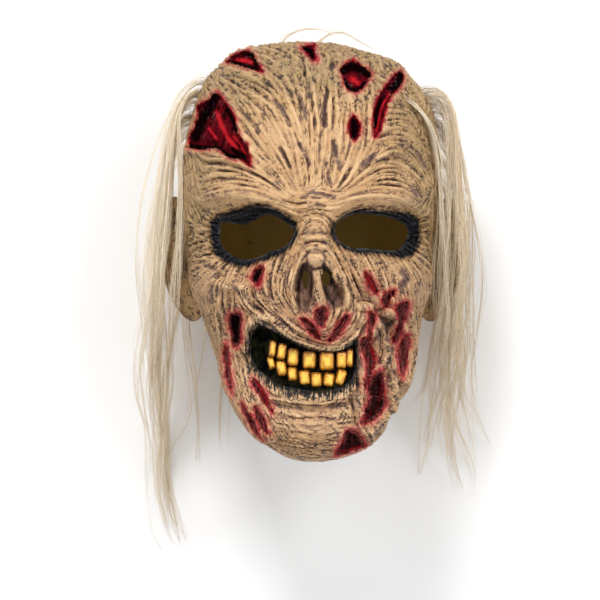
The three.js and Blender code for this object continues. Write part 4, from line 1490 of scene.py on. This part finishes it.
class Paint:
    """One node material, with short names for its nodes."""

    def __init__(self, name):
        self.material = bpy.data.materials.new(name)
        self.material.use_nodes = True
        self.tree = self.material.node_tree
        self.shader = self.tree.nodes["Principled BSDF"]
        self.where = self.tree.nodes.new("ShaderNodeTexCoord").outputs["Object"]

    def plug(self, socket, value):
        if isinstance(value, bpy.types.NodeSocket):
            self.tree.links.new(value, socket)
        else:
            socket.default_value = value

    def set(self, **values):
        for name, value in values.items():
            self.plug(self.shader.inputs[name.replace("_", " ")], value)

    def node(self, kind, inputs, **settings):
        """A new node with its settings, and with a value or another node's output on each input."""
        node = self.tree.nodes.new(f"ShaderNode{kind}")
        for name, setting in settings.items():
            setattr(node, name, setting)
        for key, value in inputs.items():
            self.plug(node.inputs[key], value)
        return node

    def value(self, key):
        output = "Vector" if key == "across" else "Fac"
        return self.node("Attribute", {}, attribute_name=key).outputs[output]

    def maths(self, operation, *inputs):
        return self.node("Math", dict(enumerate(inputs)), operation=operation).outputs[0]

    def chain(self, operation, values):
        return reduce(lambda found, value: self.maths(operation, found, value), values)

    def times(self, *values):
        return self.chain("MULTIPLY", values)

    def plus(self, *values):
        return self.chain("ADD", values)

    def most(self, *values):
        return self.chain("MAXIMUM", values)

    def without(self, value):
        return self.maths("SUBTRACT", 1.0, value)

    def within(self, value, reach):
        """A value kept between a reach below zero and the same above it."""
        return self.maths("MAXIMUM", self.maths("MINIMUM", value, reach), -reach)

    def swing(self, noise, size):
        """Noise from 0 to 1 turned into a swing about zero, of a size from end to end."""
        return self.times(self.plus(noise, -0.5), size)

    def step(self, value, low, high, start=0.0, end=1.0):
        """Runs smoothly from start to end as a value goes from low to high."""
        inputs = {"Value": value, "From Min": low, "From Max": high, "To Min": start, "To Max": end}
        return self.node("MapRange", inputs, interpolation_type="SMOOTHSTEP").outputs["Result"]

    def mix(self, share, low, high):
        return self.node("Mix", {"Factor": share, 6: low, 7: high}, data_type="RGBA").outputs[2]

    def cloud(self, scale, detail=2.0, rough=0.5, stretch=None):
        """Noise from 0 to 1, with scale in blobs a metre."""
        where = self.where
        if stretch:
            where = self.node("Mapping", {"Scale": stretch, "Vector": where}).outputs["Vector"]
        inputs = {"Vector": where, "Scale": scale, "Detail": detail, "Roughness": rough}
        return self.node("TexNoise", inputs).outputs["Fac"]

    def stripes(self, cells, count):
        """How far a point is from the nearest line along the wrinkles: 0 on it, 0.5 between two."""
        inputs = {"Vector": self.where, "Scale": cells, "Frequency": count, "Anisotropy": 1.0}
        node = self.node("TexGabor", inputs | {-1: self.value("across")}, gabor_type="3D")
        return self.maths("ABSOLUTE", self.maths("SUBTRACT", node.outputs["Phase"], 0.5))

    def away(self, value, level):
        """How far a streak is from one of its levels."""
        return self.times(self.maths("ABSOLUTE", self.plus(value, -level)), 0.3)

    def cells(self, scale):
        """How far a point is from the nearest edge of a net of uneven cells."""
        inputs = {"Vector": self.where, "Scale": scale}
        return self.node("TexVoronoi", inputs, feature="DISTANCE_TO_EDGE").outputs["Distance"]

    def lines(self, distance, noise, start, width):
        """A line where the distance is under the width, which the noise widens from nothing."""
        reach = self.step(noise, start, start + 0.18, -0.04, width)
        return self.step(self.maths("SUBTRACT", distance, reach), 0.02, -0.02)

    def bump(self, height, distance, strength=1.0):
        inputs = {"Height": height, "Distance": distance, "Strength": strength}
        self.plug(self.shader.inputs["Normal"], self.node("Bump", inputs).outputs["Normal"])


def bare_skin(p, blotch):
    """Tan paint, duller towards the back and crown, with painted shade on the sides and back and in part on
    the lower face, a painted highlight on the ridges, and brown washed into the hollows that darkens to
    painted shade in the deepest.
    """
    dull_and_shade, dip = p.value("dull_and_shade"), p.value("dip")
    tone = p.mix(p.step(p.cloud(70, 3), 0.3, 0.7), srgb(191, 149, 104), srgb(209, 169, 125))
    tone = p.mix(p.times(p.value("pink"), 0.5), tone, srgb(216, 160, 128))
    # Duller towards the crown, with painted shade on the temples, the sides and the back.
    tone = p.mix(p.times(dull_and_shade, 0.85), tone, srgb(149, 122, 82))
    # Darker and browner on the lower face, partly as painted shade.
    tone = p.mix(p.times(p.value("lower"), 0.5), tone, srgb(170, 130, 97))
    # Painted highlight on the ridges, weaker where the skin is duller and shaded.
    ridge_highlight = p.times(p.step(dip, -0.1, -0.9, 0.0, 0.5), p.step(dull_and_shade, 0.0, 1.0, 1.0, 0.45))
    tone = p.mix(ridge_highlight, tone, srgb(226, 191, 148))
    # Brown washed into the hollows, partly standing for the shade there.
    wash_and_shade = p.times(p.step(dip, 0.1, 0.9), p.step(blotch, 0.35, 0.6))
    tone = p.mix(p.times(wash_and_shade, 0.75), tone, srgb(113, 86, 79))
    # Painted shade in the deepest hollows.
    return p.mix(p.step(dip, 0.9, 2.0, 0.0, 0.8), tone, srgb(72, 48, 42))


def dark_lines(p, grain, blotch, fleck):
    """Halos and dark lines along the wrinkles, broken where the streaks and the noise are low."""
    fine, broad, lower, calm = (p.value(key) for key in ("fine", "broad", "lower", "calm"))
    ragged = p.swing(grain, 0.1)
    streak = p.plus(p.times(broad, -0.06), p.times(blotch, 0.6), 0.16, ragged, p.times(lower, 0.035))
    counter = p.plus(p.times(broad, -0.03), p.times(fleck, 0.6), 0.2, ragged)
    halo = p.lines(p.away(fine, 0.0), streak, 0.43, 0.17)
    crease = p.lines(p.away(fine, 0.0), streak, 0.37, 0.07)
    outline = p.lines(p.away(p.value("gash"), 0.75), streak, 0.47, 0.12)
    fibre = p.lines(p.stripes(150, 3.0), counter, 0.46, 0.12)
    crack = p.times(p.lines(p.cells(420), counter, 0.47, 0.08), p.value("crackle"))
    lines = p.most(crease, outline, p.times(fibre, 0.9), crack)
    return halo, p.times(lines, p.step(calm, 0.05, 0.85))


def soot_and_brow_shade(p, tone, lines, grain, blotch, fleck):
    """Black brushed round the eyes and up under the brows as painted shade, with strokes along the
    wrinkles, and a grey rim.
    """
    soot_and_shade, fine = p.value("soot_and_shade"), p.value("fine")
    bristle = p.times(p.within(fine, 1.0), -0.2)
    strokes = p.plus(p.times(lines, 0.12), p.times(bristle, 0.7), p.swing(fleck, 0.5))
    # Cover of the eye paint and of the painted shade under the brows, broken by the strokes.
    soot_and_shade_cover = p.step(p.plus(soot_and_shade, strokes), 0.06, 0.88)
    sheen = p.step(p.plus(fine, p.times(grain, 1.5)), 0.2, 2.2)
    tone = p.mix(soot_and_shade_cover, tone, p.mix(sheen, srgb(16, 16, 18), srgb(52, 52, 56)))
    return p.mix(p.times(p.value("rim"), p.step(blotch, 0.35, 0.6), 0.6), tone, srgb(92, 92, 92))


def wounded(p, tone, edge, flesh, blotch):
    """Wounds: a red edge that comes and goes, dark meat, and darkest deeper in, partly paint and partly
    painted shadow under the torn edges and painted shade in the deep middle.
    """
    lower, black_and_shadow = p.value("lower"), p.value("black_and_shadow")
    thread = p.within(p.value("fine"), 1.2)
    frayed = p.plus(edge, p.swing(blotch, 2.6), p.times(thread, 0.6))
    meat = p.mix(p.step(flesh, 0.36, 0.6), srgb(22, 4, 6), srgb(84, 10, 18))
    pulp = p.mix(p.step(flesh, 0.34, 0.62), srgb(62, 30, 32), srgb(128, 66, 62))
    pulp = p.mix(p.step(thread, -0.1, -0.8), pulp, srgb(34, 12, 14))
    pulp = p.mix(p.step(thread, 0.6, 1.1, 0.0, 0.8), pulp, srgb(170, 58, 62))
    meat = p.mix(p.times(lower, 0.85), meat, pulp)
    sore = p.times(p.step(blotch, 0.3, 0.62), p.step(lower, 0.0, 1.0, 0.55, 0.95))
    tone = p.mix(p.times(p.step(edge, -4.4, 0.2), sore), tone, srgb(206, 104, 90))
    border = p.times(p.step(frayed, -1.1, 0.3), p.without(p.step(black_and_shadow, 0.2, 0.6)))
    raw = p.mix(p.times(lower, p.step(blotch, 0.4, 0.6)), srgb(176, 40, 48), srgb(190, 82, 80))
    tone = p.mix(border, tone, p.mix(p.step(flesh, 0.35, 0.6), srgb(112, 14, 22), raw))
    tone = p.mix(p.step(p.plus(edge, p.swing(flesh, 2.6)), 0.2, 1.2), tone, meat)
    uneven = p.swing(flesh, 1.6)
    scarlet = p.plus(p.value("red"), p.times(uneven, 0.75))
    tone = p.mix(p.step(scarlet, 0.2, 0.8), tone, srgb(112, 12, 20))
    tone = p.mix(p.step(scarlet, 0.6, 1.1), tone, srgb(176, 30, 38))
    # Darkest deep in the wound: partly dark paint, partly painted shadow under the torn edges and painted
    # shade in the middle.
    deep = p.step(p.plus(black_and_shadow, p.times(uneven, 0.7)), 0.15, 0.75)
    return p.mix(p.times(deep, p.step(edge, -0.3, 0.4), 0.96), tone, srgb(4, 2, 3))


def mouth_and_nose(p, tone, flesh):
    """Black lips with a fringe of strokes, dark gums, and brown nostrils with painted shade at their edges.
    """
    fray = p.step(p.cloud(900, 2, 0.6, (1.0, 0.14, 0.14)), 0.3, 0.66)
    lip = p.plus(p.value("mouth"), p.times(fray, p.plus(p.times(p.value("fringe"), 5.0), 1.6)))
    gum = p.mix(p.step(flesh, 0.42, 0.7), srgb(5, 5, 6), srgb(34, 33, 20))
    tone = p.mix(p.step(lip, -2.4, 1.2), tone, p.mix(p.step(lip, 0.5, 2.0), srgb(26, 26, 30), gum))
    cave = p.mix(p.step(flesh, 0.35, 0.65), srgb(82, 56, 46), srgb(150, 112, 94))
    tone = p.mix(p.value("cave"), tone, cave)
    return p.mix(p.value("shade"), tone, srgb(14, 10, 9))


def skin_gloss(p, edge, grain, wet):
    """Wet meat and lips, with small glints, on satin skin and the matt darkening round the eyes."""
    mouth, soot_and_shade = p.value("mouth"), p.value("soot_and_shade")
    glint = p.times(wet, p.step(p.cloud(480, 2, 0.6, (1.0, 0.4, 1.0)), 0.63, 0.72))
    glint = p.times(glint, p.step(p.value("black_and_shadow"), 0.2, 0.8, 1.0, 0.25))
    gloss = p.most(wet, p.step(mouth, -0.5, 0.8, 0.0, 0.6))
    rough = p.maths("SUBTRACT", p.step(grain, 0.2, 0.8, 0.42, 0.58), p.times(gloss, 0.26))
    shine = p.step(p.most(edge, mouth, p.times(soot_and_shade, 4.0)), -0.5, 0.6, 0.4, 0.0)
    shine = p.plus(shine, p.times(glint, 0.35))
    p.set(Roughness=p.plus(rough, p.times(soot_and_shade, 0.15)), Specular_IOR_Level=shine)


def skin_paint():
    p = Paint("skin")
    dull_and_shade, lower = p.value("dull_and_shade"), p.value("lower")
    fleck, blotch, grain = p.cloud(330, 2, 0.6), p.cloud(160, 3, 0.6), p.cloud(1400, 2, 0.6)
    flesh = p.cloud(260, 4, 0.65, (1.0, 0.45, 1.0))
    edge = p.plus(p.value("wound"), p.swing(p.cloud(420, 2), 1.3))
    wet = p.step(edge, 0.0, 0.8)

    tone = bare_skin(p, blotch)
    gash = p.times(p.step(p.value("gash"), 0.75, 1.15), p.step(blotch, 0.36, 0.5), p.value("calm"))
    stain = p.step(p.plus(p.value("stain"), p.swing(fleck, 0.9)), 0.25, 0.7)
    stain = p.times(stain, p.step(fleck, 0.25, 0.45))
    tone = p.mix(p.times(p.most(gash, stain), 0.78), tone, srgb(93, 70, 69))
    halo, lines = dark_lines(p, grain, blotch, fleck)
    tone = p.mix(p.times(halo, 0.35), tone, srgb(126, 92, 80))
    depth = p.plus(0.58, p.times(p.most(dull_and_shade, lower), 0.28))
    tone = p.mix(p.times(lines, depth), tone, p.mix(dull_and_shade, srgb(57, 46, 46), srgb(42, 35, 31)))
    tone = soot_and_brow_shade(p, tone, lines, grain, blotch, fleck)
    tone = wounded(p, tone, edge, flesh, blotch)
    p.set(Base_Color=mouth_and_nose(p, tone, flesh))
    skin_gloss(p, edge, grain, wet)
    height = p.plus(p.times(lines, -1.0), p.times(grain, 0.15), p.times(flesh, p.times(wet, 1.2)))
    p.bump(p.plus(height, p.times(gash, -0.6)), 0.0005, 0.9)
    return p.material


def gold_paint():
    p = Paint("gold")
    worn = p.cloud(420, 3, 0.6, (1, 0.35, 1))
    # Painted highlight: the gold is brightest in the middle of each tooth's front and darkens to brown
    # towards its edges as painted shade.
    level = p.plus(p.value("glow"), p.swing(worn, 1.0))
    tone = p.mix(p.step(level, -0.1, 0.28), srgb(104, 56, 14), srgb(206, 140, 36))
    tone = p.mix(p.step(level, 0.26, 0.75), tone, srgb(248, 212, 92))
    tone = p.mix(p.times(p.value("pink"), p.step(worn, 0.35, 0.6), 0.6), tone, srgb(206, 142, 90))
    tone = p.mix(p.step(p.value("glow"), -0.05, -0.15), tone, srgb(30, 24, 12))
    p.set(Base_Color=tone, Metallic=0.2, Roughness=p.step(worn, 0.3, 0.7, 0.26, 0.42))
    p.bump(worn, 0.0002, 0.4)
    return p.material


def latex_paint():
    p = Paint("latex")
    patch = p.cloud(45, 3)
    spots = p.step(p.cloud(60, 1), 0.72, 0.78)
    tone = p.mix(patch, srgb(196, 170, 96), srgb(178, 150, 80))
    tone = p.mix(p.times(spots, 0.7), tone, srgb(96, 58, 30))
    p.set(Base_Color=tone, Roughness=0.55)
    p.bump(p.cloud(500, 2), 0.0003, 0.3)
    return p.material


def hair_paint():
    p = Paint("hair")
    shade = p.value("shade")
    tone = p.mix(shade, srgb(234, 210, 172), srgb(255, 246, 228))
    tone = p.mix(p.step(p.value("along"), 0.12, 0.0, 0.0, 0.5), tone, srgb(190, 170, 130))
    p.set(Base_Color=tone, Roughness=0.4, Specular_IOR_Level=0.5)
    return p.material


def floor_paint():
    p = Paint("floor")
    tone = p.mix(p.cloud(6, 2), (0.94, 0.94, 0.94, 1), (0.95, 0.95, 0.95, 1))
    p.set(Base_Color=tone, Roughness=0.9)
    return p.material


# Hair


def hair_lock(name, tufts, material, seed):
    """A lock of three-sided strands, each a row of rings from the scalp to a point."""
    draw = np.random.RandomState(seed)
    parts = [tuft_lines(draw, *tuft) for tuft in tufts]
    lines, sides, ups, radii = (np.concatenate(part) for part in zip(*parts))
    count = len(lines)
    corners = []
    for turn in (0, 2 * math.pi / 3, 4 * math.pi / 3):
        off = sides * math.cos(turn) + ups * math.sin(turn)
        corners.append(lines + off * radii[..., None])
    points = np.stack(corners, 2).reshape(-1, 3)
    first = 3 * HAIR_RINGS * np.arange(count)
    last = first + 3 * (HAIR_RINGS - 1)
    ring = first[:, None] + 3 * np.arange(HAIR_RINGS - 1)
    faces = []
    for a, b in ((0, 1), (1, 2), (2, 0)):
        faces += np.stack([ring + a, ring + a + 3, ring + b + 3, ring + b], -1).reshape(-1, 4).tolist()
    faces += np.stack([first, first + 1, first + 2], 1).tolist()
    faces += np.stack([last + 2, last + 1, last], 1).tolist()
    value = {
        "shade": np.repeat(draw.uniform(0, 1, count), 3 * HAIR_RINGS),
        "along": np.tile(np.repeat(np.linspace(0, 1, HAIR_RINGS), 3), count),
    }
    return new_mesh(name, points, faces, material, value)


def route_frame(route):
    """Places a step apart along a route, with the ways to its side and up from it."""
    path = along(smooth_line(route, ROUTE_PARTS), ROUTE_STEP)
    way = np.gradient(path, axis=0)
    way /= np.linalg.norm(way, axis=1)[:, None]
    side = np.cross(way, (0, 0, 1))
    side /= np.linalg.norm(side, axis=1)[:, None]
    return path, side, np.cross(side, way)


def waves(draw, travel, count, sizes, pick=slice(None)):
    """A wave along each strand, with a start and a size drawn for each strand or each wisp."""
    start = draw.uniform(0, FULL_TURN, count)[pick, None]
    return np.sin(start + travel / draw.uniform(*sizes, count)[pick, None])


def tuft_lines(draw, count, width, route):
    """Strands along a route, drawn together in small wisps, with the way across each."""
    frames = route_frame(route)
    marks = np.linspace(0, 1, len(frames[0]))
    length = ROUTE_STEP * (len(marks) - 1)
    wisps = max(2, count // STRANDS_A_WISP)
    wisp = draw.randint(wisps, size=count)
    end = draw.normal(*WISP_END, wisps)[wisp] + draw.normal(*STRAND_END, count)
    end = np.clip(end, LEAST_END, 1)
    t = np.linspace(0, 1, HAIR_RINGS)
    share = np.minimum(end[:, None] * (0.45 * t + 0.55 * t * t), 1)
    line, sides, ups = (
        np.stack([np.interp(share, marks, base[:, axis]) for axis in range(3)], -1)
        for base in frames
    )
    spread = width * (0.45 + 0.6 * smoothstep(0, 0.4, share))
    loose = np.where(draw.uniform(size=count) < LOOSE_SHARE, LOOSE_REACH, 1)[:, None]
    own = 0.2 * (1 - 0.75 * smoothstep(0.3, 1, share)) * loose
    for across, reach in ((sides, spread), (ups, 2.4 * width)):
        off = draw.normal(size=wisps)[wisp, None] * 0.5 + draw.normal(size=count)[:, None] * own
        curl = waves(draw, share * length, wisps, WISP_WAVE, wisp)
        off = off + 0.5 * curl * smoothstep(0.05, 0.5, share)
        ripple = waves(draw, share * length, count, STRAND_WAVE)
        off = off + 0.1 * loose * ripple * smoothstep(0.02, 0.2, share)
        line = line + across * (off * reach)[..., None]
    slip = draw.uniform(-WISP_SLIP, WISP_SLIP, wisps)[wisp]
    slip = slip + draw.uniform(-STRAND_SLIP, STRAND_SLIP, count)
    line[..., 1] += slip[:, None] * (1 - smoothstep(0, 0.3, share))
    pull = clear_of_head(line[:, 0], -STRAND_GAP) - line[:, 0]
    line += pull[:, None] * (1 - smoothstep(0, 0.1, share))[..., None]
    radius = draw.uniform(*STRAND_RADIUS, count)[:, None] * (1 - 0.7 * t**3)
    gap = np.where(t == 0, -STRAND_GAP, STRAND_GAP)
    clear = clear_of_head(line.reshape(-1, 3), np.tile(gap, count))
    clear = clamp_back(clear, FLAT_BACK + FLOOR_GAP)
    return clear.reshape(line.shape), sides, ups, radius


def clear_of_head(points, gap):
    """Points in or near the head moved out until they are clear, and roots set just under its skin."""
    y = np.clip(points[:, 1], *HAIR_SECTIONS)
    left, right, middle, front, back = section_at(y)
    x, z = points[:, 0], points[:, 2] - middle
    width = np.where(x < 0, left, right) * rounding(y) + gap
    depth = np.where(z < 0, back, front) * rounding(y) + gap
    reach = (abs(x / width) ** SQUARENESS + abs(z / depth) ** SQUARENESS) ** (1 / SQUARENESS)
    push = np.where((reach < 1) | (gap < 0), 1 / np.maximum(reach, 0.2), 1)
    push = np.where(abs(points[:, 1]) < HEAD_REACH, push, 1)
    found = points.copy()
    found[:, 0] = x * push
    found[:, 2] = middle + z * push
    return found


# Making the scene


def floor_piece():
    corners = FLOOR_HALF * np.array([(-1, -1), (1, -1), (1, 1), (-1, 1)], float)
    points = np.column_stack([corners, np.full(4, FLAT_BACK - FLOOR_DROP)])
    return new_mesh("floor", points, [range(4)], floor_paint())


def camera_above():
    lens = bpy.data.cameras.new("camera")
    lens.sensor_width = SENSOR
    lens.lens = SENSOR * CAMERA_HEIGHT / VIEW_WIDTH
    lens.clip_end = CLIP_END
    camera = placed("camera", lens)
    camera.location = in_metres(np.array([*AIM, CAMERA_HEIGHT]))
    bpy.context.scene.camera = camera


def soft_light(name, place, size, power):
    light = bpy.data.lights.new(name, "AREA")
    light.size = size
    light.energy = power
    lamp = placed(name, light)
    lamp.location = place
    lamp.rotation_euler = (Vector(LIGHT_TARGET) - Vector(place)).to_track_quat("-Z", "Y").to_euler()


def studio():
    scene = bpy.context.scene
    scene.view_settings.view_transform = "Standard"
    scene.view_settings.look = "None"
    world = bpy.data.worlds.new("studio")
    scene.world = world
    world.use_nodes = True
    background = world.node_tree.nodes["Background"]
    background.inputs["Color"].default_value = (1, 1, 1, 1)
    background.inputs["Strength"].default_value = AMBIENT
    for light in LIGHTS:
        soft_light(*light)


camera_above()
studio()
floor_piece()
hair = hair_paint()
shell = mask_shell(skin_paint(), gold_paint(), latex_paint())
shell.name = "mask_latex"
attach(shell, "root")
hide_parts("mask_shell")

for seed, (name, tufts) in enumerate(LOCKS.items()):
    lock = hair_lock(name, tufts, hair, seed)
    lock.name = f"{name}_strands"
    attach(lock, "root")
    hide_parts(name)
